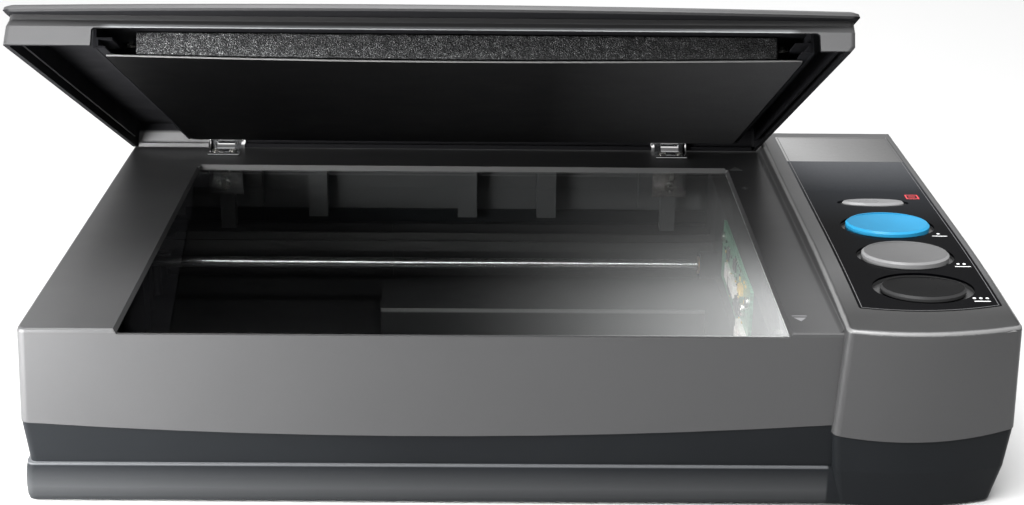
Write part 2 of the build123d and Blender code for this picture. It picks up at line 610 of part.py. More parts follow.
def lid_plate():
    """Top plate with a front lip bowed in plan."""
    z0, z1 = 101.7, LID_TOP
    x0, x1 = LID_X0, LID_X1
    y1 = PIVOT_Y + LID_BACK_R
    xm = (x0 + x1) / 2

    def ring(z, inset):
        a, m, b = (x0 + inset, -5.4 + inset, z), (xm, -12.4 + inset, z), (x1 - inset, -5.4 + inset, z)
        face = make_face(Polyline(b, (x1 - inset, y1, z), (x0 + inset, y1, z), a) + ThreePointArc(a, m, b))
        return fillet(face.vertices().sort_by(Axis.Y)[0:2], 3.5)

    return loft([ring(z0, 0.8), ring(z0 + 0.9, 0.0), ring(z1 - 1.0, 0.4), ring(z1, 2.0)], ruled=True)


def lid_skirt(extra, top):
    """Body of the cover under the plate; its front wall leans out towards the bottom."""
    y_back = PIVOT_Y + LID_BACK_R - extra

    def ring(z, left, right, front):
        x0, x1 = LID_X0 + left + extra, LID_X1 - right - extra
        y0 = front + extra
        return Pos((x0 + x1) / 2, (y0 + y_back) / 2, z) * RectangleRounded(x1 - x0, y_back - y0, 2.2)

    levels = [(LID_BOTTOM, 0.5, 4.0, -4.0), (89.6, 0.6, 2.2, -3.6), (96.0, 1.0, 1.9, -2.6), (99.3, 1.7, 1.8, -0.2),
              (top, 2.0, 2.0, 0.2)]
    return loft([ring(*level) for level in levels], ruled=True)


def back_corner_cut():
    """Removes the lower back corner outside a circle about the pins, so the cover can swing."""
    y0, z0 = PIVOT_Y, LID_BOTTOM - 1
    region = box(-240, 160, y0, y0 + 10, z0, PIVOT_Z)
    return region - cyl_x(-241, 161, PIVOT_Y, PIVOT_Z, LID_BACK_R - 0.03)


def make_lid_shell():
    outer = lid_plate() + lid_skirt(0.0, 102.2)
    void = lid_skirt(2.2, 102.0) - box(-240, 160, -10, 290, 102.0, 110)
    y_in = PIVOT_Y + LID_BACK_R - 2.2
    low = box(LID_X0 + 3.6, LID_X1 - 6.4, 3.5, y_in, LID_BOTTOM - 1, LID_BOTTOM + 1)
    body = outer - void - low
    lip = box(LID_X0 + 4, LID_X1 - 6.5, PIVOT_Y - 0.5, y_in + 0.5, LID_BOTTOM, PIVOT_Z) - cyl_x(-240, 160, PIVOT_Y, PIVOT_Z, LID_BACK_R - 2.2)
    body = body + lip - back_corner_cut()
    # open front edge that lets a book hang over the bed
    notch = extrude(
        Plane.XZ.offset(12) * Pos((NOTCH_X0 + NOTCH_X1) / 2, (NOTCH_Z + 70) / 2)
        * RectangleRounded(NOTCH_X1 - NOTCH_X0, NOTCH_Z - 70, 1.6), amount=-24)
    body = body - notch
    # clearance round the hinges
    for x in HINGE_X:
        body = body - box(x - 10.5, x + 10.5, 256, 275, LID_BOTTOM - 1, PIVOT_Z + 5.2)
        for dx in (-5.0, 5.0):
            body = body + (cyl_z(x + dx, 251.0, PIVOT_Z + 3.8, 102.3, 2.8) - cyl_z(x + dx, 251.0, 94, 101, 0.9))
    for x, y in LID_SCREWS:
        body = body + (cyl_z(x, y, 100.6, 102.3, 3.2) - cyl_z(x, y, 99, 101.8, 0.9))
    return body


LID_SCREWS = ((-182.2, 45.0), (-182.2, 130.0), (-182.2, 225.0), (119.6, 45.0), (119.6, 130.0), (119.6, 225.0))


def make_inner_frame():
    """Black liner under the cover plate, with the walls of the mat pocket."""
    z0, z1 = 99.4, 100.6
    frame = box(-222.6, 138.6, 5.0, 245.0, z0, z1)
    frame = frame + box(-222.6, -221.6, 5.0, 245.0, 90.0, z1) + box(137.6, 138.6, 5.0, 245.0, 90.0, z1)
    frame = frame + box(-190.9, -189.5, 7.2, 245.0, 88.6, z1) + box(125.8, 127.2, 7.2, 245.0, 88.6, z1)
    frame = frame + box(-190.9, 127.2, 243.6, 245.0, 88.9, z1)
    for x, y in LID_SCREWS:
        frame = frame - cyl_z(x, y, 98, 102, 1.2)
    return frame


def make_mat_rails():
    """Small L shaped rails that hold the corners of the mat."""
    rails = []
    for x, s in ((-189.5, 1), (125.8, -1)):
        for y0, y1 in ((7.0, 26.0), (216.0, 236.0)):
            x0, x1 = sorted((x, x + s * 1.0))
            xa, xb = sorted((x, x + s * 7.0))
            rails.append(box(x0, x1, y0, y1, 89.2, 93.4) + box(xa, xb, y0, y1, 92.4, 93.4) )
            xc, xd = sorted((x, x + s * 4.0))
            rails.append(box(xc, xd, y0, y1, 88.8, 89.6) )
    return Compound(children=rails)


# ---------------------------------------------------------------- scan head
def make_carriage_housing():
    x0, x1, y0, y1, z0 = CAR_X0, CAR_X1, CAR_Y0, CAR_Y1, CAR_Z0
    body = rbox(x0, x1, y0, y1, z0, 78.0, 3) - rbox(x0 + 2, x1 - 2, y0 + 2, y1 - 2, z0 + 2, 80, 2)
    body = body + cyl_x(100.0, x1 + 1.5, ROD_Y, ROD_Z, 7.5)
    # belt tunnel
    body = body + box(x0, x1, 210, 234, z0, 50)
    body = body - box(x0 - 1, x1 + 1, 212, 232, z0 - 1, 48)
    body = body - cyl_x(90, 190, ROD_Y, ROD_Z, 5.0)
    # lens saddle and screw posts inside
    body = body + box(134, 148, 99, 123, z0 + 1.5, 47.5)
    body = body - cyl_x(130, 152, 111, 56, 9.0)
    for x, y in COVER_SCREWS:
        body = body + (rbox(x - 3, x + 3, y - 3, y + 3, z0 + 1, 78.0, 1) - cyl_z(x, y, 70, 79, 1.0))
    # window in the left wall for the sensor
    body = body - box(x0 - 1, x0 + 3, 84, 138, 52, 60)
    for y in (66.0, 156.0):
        body = body - cyl_x(x0 - 1, x0 + 3, y, 72, 1.0)
    return body


COVER_SCREWS = ((116.5, 13.0), (170.5, 13.0), (116.5, 245.0), (170.5, 245.0))


def make_carriage_cover():
    cover = rbox(CAR_X0, CAR_X1, CAR_Y0, CAR_Y1, 78.0, CAR_Z1, 3)
    cover = cover - box(122.5, 128.0, 18, 240, 77, 81)
    for x, y in COVER_SCREWS:
        cover = cover - cyl_z(x, y, 77, 81, 1.3) - cyl_z(x, y, 78.8, 81, 2.6)
    return cover


def make_sensor_board():
    board = box(110.4, 112.0, 60, 162, 48, 79.5)
    for y in (66.0, 156.0):
        board = board - cyl_x(109, 113, y, 72, 1.3)
    return board


def screw_x(x, y, z):
    """Pan head screw seen from the left, with a cross slot."""
    head = cyl_x(x - 1.6, x, y, z, 2.9)
    head = head - box(x - 2, x - 1.0, y - 2.0, y + 2.0, z - 0.35, z + 0.35) - box(x - 2, x - 1.0, y - 0.35, y + 0.35, z - 2.0, z + 2.0)
    return head + cyl_x(x - 0.1, x + 3.2, y, z, 0.95)


def make_mirror(xc, zc, tilt, y0, y1):
    plate = Box(12.0, y1 - y0, 2.4)
    return Pos(xc, (y0 + y1) / 2, zc) * Rot(0, tilt, 0) * plate


def make_bushing(x0, x1):
    return cyl_x(x0, x1, ROD_Y, ROD_Z, 5.0) - cyl_x(x0 - 1, x1 + 1, ROD_Y, ROD_Z, ROD_R + 0.05)


def make_belt_clamp():
    """Block in the belt tunnel that grips the front run of the belt."""
    y_run = PULLEY[1] - BELT_R - 0.6
    block = box(134, 154, y_run - 2.6, y_run + 2.6, BELT_Z0 - 2.0, 48.0)
    return block - box(133, 155, y_run - 0.75, y_run + 0.75, BELT_Z0 - 0.3, BELT_Z1 + 0.15)


# ---------------------------------------------------------------- build and save
def main():
    save("base_tray", make_base_tray())
    save("upper_housing", make_upper_housing())
    save("scan_glass", box(GLASS_X0 - 5.2, GLASS_X1 + 5.2, GLASS_Y0 + 0.05, 236.0, GLASS_TOP - GLASS_T, GLASS_TOP))
    save("calibration_strip", box(GLASS_X1 + 0.3, GLASS_X1 + 5.0, 8, 232, GLASS_TOP - GLASS_T - 0.3, GLASS_TOP - GLASS_T))
    save("inlay_silver", make_inlay(INLAY_JOIN_Y + 0.1, 300))
    save("inlay_black", make_inlay(0, INLAY_JOIN_Y - 0.1))
    save("chassis_frame", make_chassis_frame())
    save("guide_rod", cyl_x(-218, 216, ROD_Y, ROD_Z, ROD_R))
    clips = [box(x - 4.5, x + 4.5, ROD_Y - 7, ROD_Y + 7, ROD_Z + 3.02, ROD_Z + 4.2)
             + box(x - 4.5, x + 4.5, ROD_Y - 8.2, ROD_Y - 7.05, ROD_Z - 6, ROD_Z + 4.2)
             + box(x - 4.5, x + 4.5, ROD_Y + 7.05, ROD_Y + 8.2, ROD_Z - 6, ROD_Z + 4.2) for x in (-213.0, 210.5)]
    save("rod_clips", Compound(children=clips))
    save("drive_motor", make_motor())
    save("motor_bracket", make_motor_bracket())
    screws = [screw_z(x, y, 28.0, 2.6, 1.1, 7.5) for x, y in DRIVE_POSTS]
    screws += [screw_z(MOTOR[0] + dx, MOTOR[1], 24.7, 2.2, 1.1, 3.0, up=False) for dx in (-18.0, 18.0)]
    screws += [screw_z(x, y, 15.6, 2.4, 1.1, 7.5) for x, y in BOARD_POSTS]
    save("chassis_screws", Compound(children=screws))
    axles = [cyl_z(PULLEY[0], PULLEY[1], 25.0, 51.0, 1.5) + cyl_z(PULLEY[0], PULLEY[1], 50.0, 50.8, 2.6)]
    axles += [cyl_z(IDLER[0], IDLER[1], 35.0, 50.0, 1.5) + cyl_z(IDLER[0], IDLER[1], 48.5, 49.3, 2.6)]
    save("pulley_axles", Compound(children=axles))
    save("reduction_gear", make_reduction_gear())
    save("motor_pinion", make_pinion())
    save("idler_pulley", make_idler_pulley())
    save("idler_bracket", make_idler_bracket())
    save("belt_tension_spring", make_tension_spring())
    save("drive_belt", make_belt())
    save("main_board", make_main_board())
    save("board_chips", make_board_chips())
    save("usb_socket", make_usb_socket())
    save("dc_jack", make_dc_jack())
    save("socket_contacts", Compound(children=[make_usb_tongue(), make_dc_pin()]))
    save("button_board", make_button_board())
    save("button_switches", make_switches())
    save("ribbon_cable", make_ribbon())
    save("rubber_feet", Compound(children=[cyl_z(x, y, 0, UNDERSIDE_Z, 9.0) for x, y in FEET]))
    save("case_screws", Compound(children=[screw_z(x, y, 8.0, 3.0, 1.25, 48.0, up=False) for x, y in CASE_SCREWS]))
    for name, x in zip(("left", "right"), HINGE_X):
        save(f"hinge_base_{name}", make_hinge_base(x))
        save(f"hinge_pin_{name}", make_hinge_pin(x))
        save(f"hinge_leaf_{name}", opened(make_hinge_upper(x)))
    save("hinge_backing_plates", make_backing_plates())
    save("hinge_screws", make_hinge_screws())
    lid_screws = [screw_z(x, y, 99.4, 2.6, 0.85, 2.2, up=False) for x, y in LID_SCREWS]
    lid_screws += [screw_z(x + dx, 251.0, PIVOT_Z + 2.6, 2.2, 0.85, 5.0, up=False) for x in HINGE_X for dx in (-5.0, 5.0)]
    save("lid_screws", opened(Compound(children=lid_screws)))
    save("lid_shell", opened(make_lid_shell()))
    save("lid_inner_frame", opened(make_inner_frame()))
    save("foam_pad", opened(box(-175.0, 113.5, 19.5, 242.0, 88.9, 99.4)))
    save("document_mat", opened(rbox(-188.6, 124.9, 19.0, 242.5, 87.9, 88.7, 1.5)))
    save("mat_rails", opened(make_mat_rails()))
    save("carriage_housing", make_carriage_housing())
    save("carriage_cover", make_carriage_cover())
    screws = [screw_z(x, y, 78.8, 2.4, 0.95, 7.0) for x, y in COVER_SCREWS]
    screws += [screw_x(110.4, y, 72.0) for y in (66.0, 156.0)]
    save("carriage_screws", Compound(children=screws))
    save("sensor_board", make_sensor_board())
    save("sensor_connectors", Compound(children=[box(107.8, 110.4, 62, 86, 50, 55), box(107.8, 110.4, 100, 118, 60, 66),
                                                 box(108.8, 110.4, 128, 140, 56, 64)]))
    save("line_sensor", box(112.0, 114.6, 86, 136, 52.5, 59.5))
    save("lens_barrel", cyl_x(132, 150, 111, 56, 9.0) - cyl_x(131, 151, 111, 56, 6.5))
    save("lens_glass", cyl_x(146, 149, 111, 56, 6.5))
    mirrors = [make_mirror(125.3, 65.5, 45, 18, 168), make_mirror(165.0, 69.0, 60, 18, 166)]
    save("mirrors", Compound(children=mirrors))
    save("lamp_tube", cyl_y(140.0, 12, 246, 73.0, 2.0))
    save("lamp_reflector", (cyl_y(140.0, 14, 244, 73.0, 4.6) - cyl_y(140.0, 13, 245, 73.0, 4.0)) & box(139, 150, 10, 250, 60, 77.9))
    save("rod_bushings", Compound(children=[make_bushing(99.5, 109.5), make_bushing(166.5, 177.0)]))
    pads = [rbox(x - 5, x + 5, 13.5, 21.5, 30.05, 33.0, 1.5) for x in (122.0, 165.0)]
    save("belt_clamp_and_pads", Compound(children=[make_belt_clamp()] + pads))
    for name, (y, a, b, stand, well_a, well_b) in BUTTONS.items():
        save(f"button_{name}", make_button(y, a, b, stand))


main()
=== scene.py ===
"""Looks of the flatbed scanner: materials, soft pieces, printed marks, board detail, light and camera.

Places are written in drawing millimetres and turned by place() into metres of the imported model's frame:
+X to the right, +Y to the hinge side, +Z up, origin under the middle of the scanner at table level.
"""

import json
import math
import random

import bmesh
import bpy
from mathutils import Matrix, Vector, noise


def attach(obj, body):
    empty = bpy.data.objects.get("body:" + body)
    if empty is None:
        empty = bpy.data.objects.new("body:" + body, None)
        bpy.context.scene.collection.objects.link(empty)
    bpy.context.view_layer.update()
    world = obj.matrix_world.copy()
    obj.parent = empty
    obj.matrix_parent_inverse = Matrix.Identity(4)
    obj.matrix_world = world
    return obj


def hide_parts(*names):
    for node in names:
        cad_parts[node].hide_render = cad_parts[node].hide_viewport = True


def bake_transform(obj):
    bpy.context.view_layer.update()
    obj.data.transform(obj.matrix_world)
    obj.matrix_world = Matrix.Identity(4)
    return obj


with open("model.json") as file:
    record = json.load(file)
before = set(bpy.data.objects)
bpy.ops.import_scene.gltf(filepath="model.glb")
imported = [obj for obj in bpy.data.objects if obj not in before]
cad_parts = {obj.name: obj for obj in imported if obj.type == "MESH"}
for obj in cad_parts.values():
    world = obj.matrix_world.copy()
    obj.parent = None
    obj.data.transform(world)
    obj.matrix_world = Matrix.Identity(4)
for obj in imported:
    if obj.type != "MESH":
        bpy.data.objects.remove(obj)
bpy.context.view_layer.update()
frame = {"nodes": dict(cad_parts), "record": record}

MM = 0.001
X_SHIFT, Y_SHIFT = 1.65, -136.0  # drawing origin (0, 0 at the bed's front edge) in the frame, in mm
LID_OPEN = math.radians(27.1)    # cover angle at rest
HINGE_Y, HINGE_Z = 266.4, 92.0   # hinge line in drawing mm
COLUMN_TOP, COLUMN_BEND_Y, COLUMN_BEND_R = 95.0, 110.0, 1700.0
BEZEL_TOP = 87.0                 # height of the bed's top face

random.seed(7)


# ---------------------------------------------------------------- places
def place(x, y, z):
    """Drawing millimetres to frame metres."""
    return Vector(((x + X_SHIFT) * MM, (y + Y_SHIFT) * MM, z * MM))


def lid_place(x, y, z):
    """A point of the shut cover, in drawing millimetres, to its place on the open cover."""
    dy, dz = y - HINGE_Y, z - HINGE_Z
    c, s = math.cos(LID_OPEN), math.sin(LID_OPEN)
    return place(x, HINGE_Y + dy * c + dz * s, HINGE_Z - dy * s + dz * c)


def column_height(y):
    """Height of the arched column top at drawing y, in mm."""
    bend = max(0.0, COLUMN_BEND_Y - y)
    return COLUMN_TOP - bend * bend / (2 * COLUMN_BEND_R)


# ---------------------------------------------------------------- material kit
class Surface:
    """A Principled material with short calls for the node patterns used below."""

    def __init__(self, name, color, roughness=0.5, metallic=0.0, specular=0.5, ior=1.45,
                 coat=0.0, coat_roughness=0.05):
        self.material = bpy.data.materials.new(name)
        self.material.use_nodes = True
        self.tree = self.material.node_tree
        self.shader = self.tree.nodes["Principled BSDF"]
        self.set("Base Color", (*color, 1.0))
        self.set("Roughness", roughness)
        self.set("Metallic", metallic)
        self.set("Specular IOR Level", specular)
        self.set("IOR", ior)
        self.set("Coat Weight", coat)
        self.set("Coat Roughness", coat_roughness)
        source = self.node("ShaderNodeTexCoord")
        self.coords = source.outputs["Object"]
        self.normals = source.outputs["Normal"]
        self.last_normal = None

    def set(self, socket, value):
        self.shader.inputs[socket].default_value = value

    def node(self, kind, **inputs):
        made = self.tree.nodes.new(kind)
        for key, value in inputs.items():
            made.inputs[key.replace("_", " ")].default_value = value
        return made

    def link(self, out, into):
        self.tree.links.new(out, into)

    def stretched(self, scale):
        mapping = self.node("ShaderNodeMapping")
        mapping.inputs["Scale"].default_value = scale
        self.link(self.coords, mapping.inputs["Vector"])
        return mapping.outputs["Vector"]

    def noise(self, scale, detail=3.0, rough=0.55, stretch=None):
        tex = self.node("ShaderNodeTexNoise", Scale=scale, Detail=detail, Roughness=rough)
        self.link(self.stretched(stretch) if stretch else self.coords, tex.inputs["Vector"])
        return tex.outputs["Fac"]

    def cells(self, scale, feature="F1"):
        tex = self.node("ShaderNodeTexVoronoi", Scale=scale)
        tex.feature = feature
        self.link(self.coords, tex.inputs["Vector"])
        return tex.outputs["Distance"]

    def ramp(self, fac, stops):
        made = self.node("ShaderNodeValToRGB")
        elements = made.color_ramp.elements
        while len(elements) < len(stops):
            elements.new(0.5)
        for element, (position, color) in zip(elements, stops):
            element.position = position
            element.color = (*color, 1.0)
        self.link(fac, made.inputs["Fac"])
        return made.outputs["Color"]

    def spread(self, fac, low, high, from_low=0.3, from_high=0.7):
        made = self.node("ShaderNodeMapRange", From_Min=from_low, From_Max=from_high, To_Min=low, To_Max=high)
        self.link(fac, made.inputs["Value"])
        return made.outputs["Result"]

    def color_from(self, out):
        self.link(out, self.shader.inputs["Base Color"])

    def parts(self, vector):
        split = self.node("ShaderNodeSeparateXYZ")
        self.link(vector, split.inputs["Vector"])
        return split.outputs["X"], split.outputs["Y"], split.outputs["Z"]

    def calc(self, operation, a, b):
        """One maths node; a and b are sockets or numbers."""
        made = self.node("ShaderNodeMath")
        made.operation = operation
        for socket, value in zip(made.inputs, (a, b)):
            if isinstance(value, (int, float)):
                socket.default_value = value
            else:
                self.link(value, socket)
        return made.outputs["Value"]

    def times(self, a, b):
        return self.calc("MULTIPLY", a, b)

    def mixed(self, factor, a, b, blend="MIX"):
        """Colour mix; a and b are sockets or colours."""
        made = self.node("ShaderNodeMix")
        made.data_type = "RGBA"
        made.blend_type = blend
        for socket, value in ((made.inputs["Factor"], factor), (made.inputs["A"], a), (made.inputs["B"], b)):
            if isinstance(value, tuple):
                socket.default_value = (*value, 1.0)
            elif isinstance(value, (int, float)):
                socket.default_value = value
            else:
                self.link(value, socket)
        return made.outputs["Result"]

    def turned(self, vector, angle, shift=None):
        """A vector turned about the X axis, then shifted."""
        mapping = self.node("ShaderNodeMapping")
        mapping.vector_type = "POINT" if shift else "VECTOR"
        mapping.inputs["Rotation"].default_value = (angle, 0.0, 0.0)
        if shift:
            mapping.inputs["Location"].default_value = shift
        self.link(vector, mapping.inputs["Vector"])
        return mapping.outputs["Vector"]

    def mottled(self, scale, dark, light, stretch=None):
        """Slow colour drift between two close colours."""
        drift = self.noise(scale, 4.0, stretch=stretch)
        self.color_from(self.ramp(drift, [(0.3, dark), (0.7, light)]))
        return self

    def uneven_gloss(self, scale, low, high, stretch=None):
        """Roughness that drifts between low and high."""
        gloss = self.spread(self.noise(scale, 4.0, stretch=stretch), low, high)
        self.link(gloss, self.shader.inputs["Roughness"])
        return self

    def surface_from(self, out):
        self.link(out, self.tree.nodes["Material Output"].inputs["Surface"])

    def bump(self, fac, strength, distance):
        made = self.node("ShaderNodeBump", Strength=strength, Distance=distance)
        self.link(fac, made.inputs["Height"])
        if self.last_normal:
            self.link(self.last_normal, made.inputs["Normal"])
        self.last_normal = made.outputs["Normal"]
        self.link(self.last_normal, self.shader.inputs["Normal"])
        return self

    def grain(self, scale, strength=0.25, distance=0.00008):
        """Fine moulded or painted texture."""
        return self.bump(self.noise(scale, 2.0), strength, distance)


def dulled(color, share):
    return tuple(c * share for c in color)


def grey(level):
    return (level, level, level)


def plastic(name, color, roughness, grain=2600.0, strength=0.22, drift=0.08, specular=0.5):
    """Moulded plastic: faint colour drift, uneven gloss and a fine eroded texture."""
    made = Surface(name, color, roughness, specular=specular)
    made.mottled(14.0, dulled(color, 1 - drift), dulled(color, 1 + drift))
    made.uneven_gloss(45.0, roughness * 0.88, min(1.0, roughness * 1.12))
    return made.grain(grain, strength)


def metal(name, color, roughness, stretch=(1.0, 1.0, 1.0), scratch=0.05):
    """Bare metal with uneven polish and fine scratches along the stretch."""
    made = Surface(name, color, roughness, metallic=1.0)
    made.mottled(60.0, dulled(color, 0.92), dulled(color, 1.05), stretch=stretch)
    made.uneven_gloss(180.0, roughness * 0.75, roughness * 1.35, stretch=stretch)
    return made.bump(made.noise(900.0, 2.0, stretch=stretch), scratch, 0.00003)


def painted_housing(name, color, specular=0.25, coat=0.03):
    """Grey lacquer with fine metal flakes under a soft clear layer."""
    made = Surface(name, color, 0.42, metallic=0.3, specular=specular, coat=coat, coat_roughness=0.3)
    drift = made.ramp(made.noise(7.0, 3.0), [(0.3, dulled(color, 0.965)), (0.7, dulled(color, 1.03))])
    flakes = made.ramp(made.cells(3800.0), [(0.0, dulled(color, 1.35)), (0.32, color),
                                            (1.0, dulled(color, 0.9))])
    made.color_from(made.mixed(0.4, drift, flakes))
    made.uneven_gloss(30.0, 0.39, 0.46)
    return made.grain(3200.0, 0.16, 0.00005)


def clear_sheet(name, tint, ior=1.5):
    """Glass that lets lamp light through to what lies behind it."""
    made = Surface(name, tint, 0.0, ior=ior)
    made.set("Transmission Weight", 1.0)
    smear = made.spread(made.noise(9.0, 5.0, 0.6), 0.0, 0.003, 0.45, 0.8)
    made.link(smear, made.shader.inputs["Roughness"])
    path = made.node("ShaderNodeLightPath")
    either = made.node("ShaderNodeMath")
    either.operation = "MAXIMUM"
    made.link(path.outputs["Is Shadow Ray"], either.inputs[0])
    made.link(path.outputs["Is Diffuse Ray"], either.inputs[1])
    through = made.node("ShaderNodeBsdfTransparent")
    through.inputs["Color"].default_value = (*dulled(tint, 0.97), 1.0)
    mix = made.node("ShaderNodeMixShader")
    made.link(either.outputs["Value"], mix.inputs["Fac"])
    made.link(made.shader.outputs["BSDF"], mix.inputs[1])
    made.link(through.outputs["BSDF"], mix.inputs[2])
    made.surface_from(mix.outputs["Shader"])
    return made


def bed_glass():
    """Scanner glass with a white diffuse film that thickens towards its front right corner: a painted
    reflection of a bright lamp on the glass.
    """
    made = clear_sheet("bed_glass", (0.955, 0.965, 0.96))
    clear = made.tree.nodes["Material Output"].inputs["Surface"].links[0].from_socket
    x, y, _ = made.parts(made.coords)
    right = made.spread(x, 0.0, 1.0, -0.06, 0.122)
    front = made.spread(y, 1.0, 0.0, place(0, 5, 0).y, place(0, 330, 0).y)
    # painted reflection: the white film's share grows towards the front right corner, standing in for a
    # bright reflection on the glass
    reflection_amount = made.times(made.calc("POWER", right, 2.7), made.calc("POWER", front, 0.9))
    cloud = made.spread(made.noise(11.0, 3.0), 0.93, 1.07)
    reflection_amount = made.times(made.times(reflection_amount, cloud), PAINTED_REFLECTION_MOST)
    film = made.node("ShaderNodeBsdfDiffuse")
    film.inputs["Color"].default_value = (0.83, 0.84, 0.84, 1.0)
    mix = made.node("ShaderNodeMixShader")
    made.link(reflection_amount, mix.inputs["Fac"])
    made.link(clear, mix.inputs[1])
    made.link(film.outputs["BSDF"], mix.inputs[2])
    made.surface_from(mix.outputs["Shader"])
    return made


# ---------------------------------------------------------------- materials
GREY_PAINT = (0.056, 0.056, 0.057)
# largest share of the white film that paints a reflection on the glass
PAINTED_REFLECTION_MOST = 0.20


def black_fascia():
    """Glossy black panel that turns smoky grey towards its back end."""
    made = Surface("fascia_black", (0.004, 0.004, 0.005), 0.2, specular=0.06, ior=1.25,
                   coat=0.01, coat_roughness=0.06)
    back = place(0, 224.0, 0).y
    fade = made.spread(made.parts(made.coords)[1], 0.0, 1.0, back - 0.105, back)
    base = made.ramp(fade, [(0.0, (0.0012, 0.0012, 0.0016)), (0.5, (0.010, 0.011, 0.013)),
                            (1.0, (0.048, 0.050, 0.054))])
    speck = made.ramp(made.noise(2400.0, 1.0), [(0.35, grey(0.85)), (0.75, grey(1.25))])
    made.color_from(made.mixed(1.0, base, speck, "MULTIPLY"))
    return made.grain(160.0, 0.03, 0.00005)


def foam_surface():
    """Open-cell foam: dark pores with small pale flecks painted in as glints on the cell walls, and painted
    shade that darkens it towards the right.
    """
    made = Surface("foam_open_cell", (0.012, 0.012, 0.013), 0.75, specular=0.3)
    # painted glints: pale flecks in the colour stand in for light caught by the cell walls
    fine = made.spread(made.noise(2300.0, 2.0, 0.8), 0.0, 1.0, 0.48, 0.66)
    coarse = made.spread(made.noise(300.0, 3.0, 0.7), 0.45, 1.0, 0.35, 0.65)
    painted_glint_flecks = made.ramp(made.times(fine, coarse), [(0.0, (0.008, 0.008, 0.009)), (0.3, (0.04, 0.041, 0.042)),
                                                  (0.85, (0.38, 0.39, 0.39))])
    # painted shade: the colour is darkened from left to right as the light falls off away from the left
    across = made.spread(made.parts(made.coords)[0], 0.0, 1.0, -0.17, 0.12)
    painted_shade_to_right = made.ramp(across, [(0.0, grey(0.85)), (1.0, grey(0.24))])
    made.color_from(made.mixed(1.0, painted_glint_flecks, painted_shade_to_right, "MULTIPLY"))
    made.bump(made.cells(900.0, "DISTANCE_TO_EDGE"), 0.9, 0.0005)
    return made.bump(made.noise(300.0, 5.0, 0.7), 0.7, 0.0006)


def mat_surface():
    """Smooth black sheet with a painted sheen that grows to the right and a painted highlight on its
    front-facing edges.
    """
    made = Surface("mat_black", grey(0.003), 0.55, specular=0.06, ior=1.25)
    # painted sheen: the colour grows paler to the right, standing in for a broad reflection
    across = made.spread(made.parts(made.coords)[0], 0.0, 1.0, -0.12, 0.125)
    base = made.ramp(across, [(0.0, (0.0015, 0.0015, 0.0016)), (0.55, (0.005, 0.005, 0.0052)),
                              (1.0, (0.034, 0.034, 0.035))])
    speck = made.ramp(made.noise(900.0, 2.0), [(0.3, grey(0.8)), (0.75, grey(1.25))])
    # painted highlight: the sheet's front-facing edges are painted pale grey
    painted_edge_highlight = made.spread(made.parts(made.turned(made.normals, LID_OPEN))[1], 1.0, 0.0, -0.8, -0.4)
    made.color_from(made.mixed(painted_edge_highlight, made.mixed(1.0, base, speck, "MULTIPLY"), grey(0.15)))
    made.uneven_gloss(30.0, 0.5, 0.6)
    return made.grain(2400.0, 0.25)


def board_surface():
    """Circuit board: solder mask over faint traces."""
    made = Surface("circuit_board", (0.03, 0.16, 0.09), 0.3, specular=0.5, coat=0.4, coat_roughness=0.15)
    wide = made.node("ShaderNodeTexBrick", Scale=160.0, Mortar_Size=0.04, Mortar_Smooth=0.2)
    wide.inputs["Color1"].default_value = (0.022, 0.13, 0.072, 1)
    wide.inputs["Color2"].default_value = (0.03, 0.17, 0.095, 1)
    wide.inputs["Mortar"].default_value = (0.09, 0.30, 0.17, 1)
    turn = made.node("ShaderNodeMapping")
    turn.inputs["Rotation"].default_value = (0.0, math.radians(90), 0.0)
    made.link(made.coords, turn.inputs["Vector"])
    made.link(turn.outputs["Vector"], wide.inputs["Vector"])
    made.color_from(wide.outputs["Color"])
    return made.grain(700.0, 0.2, 0.00006)


def silver_strip():
    """Brushed metal-effect film, painted paler at its left end: painted light from the lamp on the left."""
    made = Surface("trim_silver", grey(0.4), 0.34, metallic=0.35, specular=0.3)
    # painted light: the colour falls from pale at the left end to dark at the right
    across = made.spread(made.parts(made.coords)[0], 0.0, 1.0, place(150, 0, 0).x, place(223, 0, 0).x)
    base = made.ramp(across, [(0.0, grey(0.25)), (0.5, grey(0.14)), (1.0, grey(0.065))])
    streaks = made.noise(700.0, 3.0, stretch=(1.0, 16.0, 1.0))
    brushed = made.ramp(streaks, [(0.3, grey(0.88)), (0.7, grey(1.12))])
    made.color_from(made.mixed(1.0, base, brushed, "MULTIPLY"))
    made.uneven_gloss(300.0, 0.28, 0.4, stretch=(1.0, 12.0, 1.0))
    return made.bump(made.noise(1500.0, 2.0, stretch=(1.0, 14.0, 1.0)), 0.06, 0.00003)


def key_surface(name, color, roughness=0.3, coat=0.1, rim=1.5, specular=0.2):
    """Moulded key cap whose rounded rim is painted paler than its dished top: a painted highlight on the rim.
    """
    made = Surface(name, color, roughness, specular=specular, ior=1.35, coat=coat, coat_roughness=0.12)
    base = made.ramp(made.noise(40.0, 4.0), [(0.3, dulled(color, 0.95)), (0.7, dulled(color, 1.05))])
    # painted highlight: faces that slope away from the top are painted paler by the rim factor
    edge = made.spread(made.parts(made.normals)[2], 1.0, 0.0, 0.7, 0.97)
    pale = tuple(min(0.9, c * rim + 0.02 * (rim - 1.0)) for c in color)
    made.color_from(made.mixed(edge, base, pale))
    made.uneven_gloss(90.0, roughness * 0.9, roughness * 1.15)
    return made.grain(1900.0, 0.08, 0.00003)


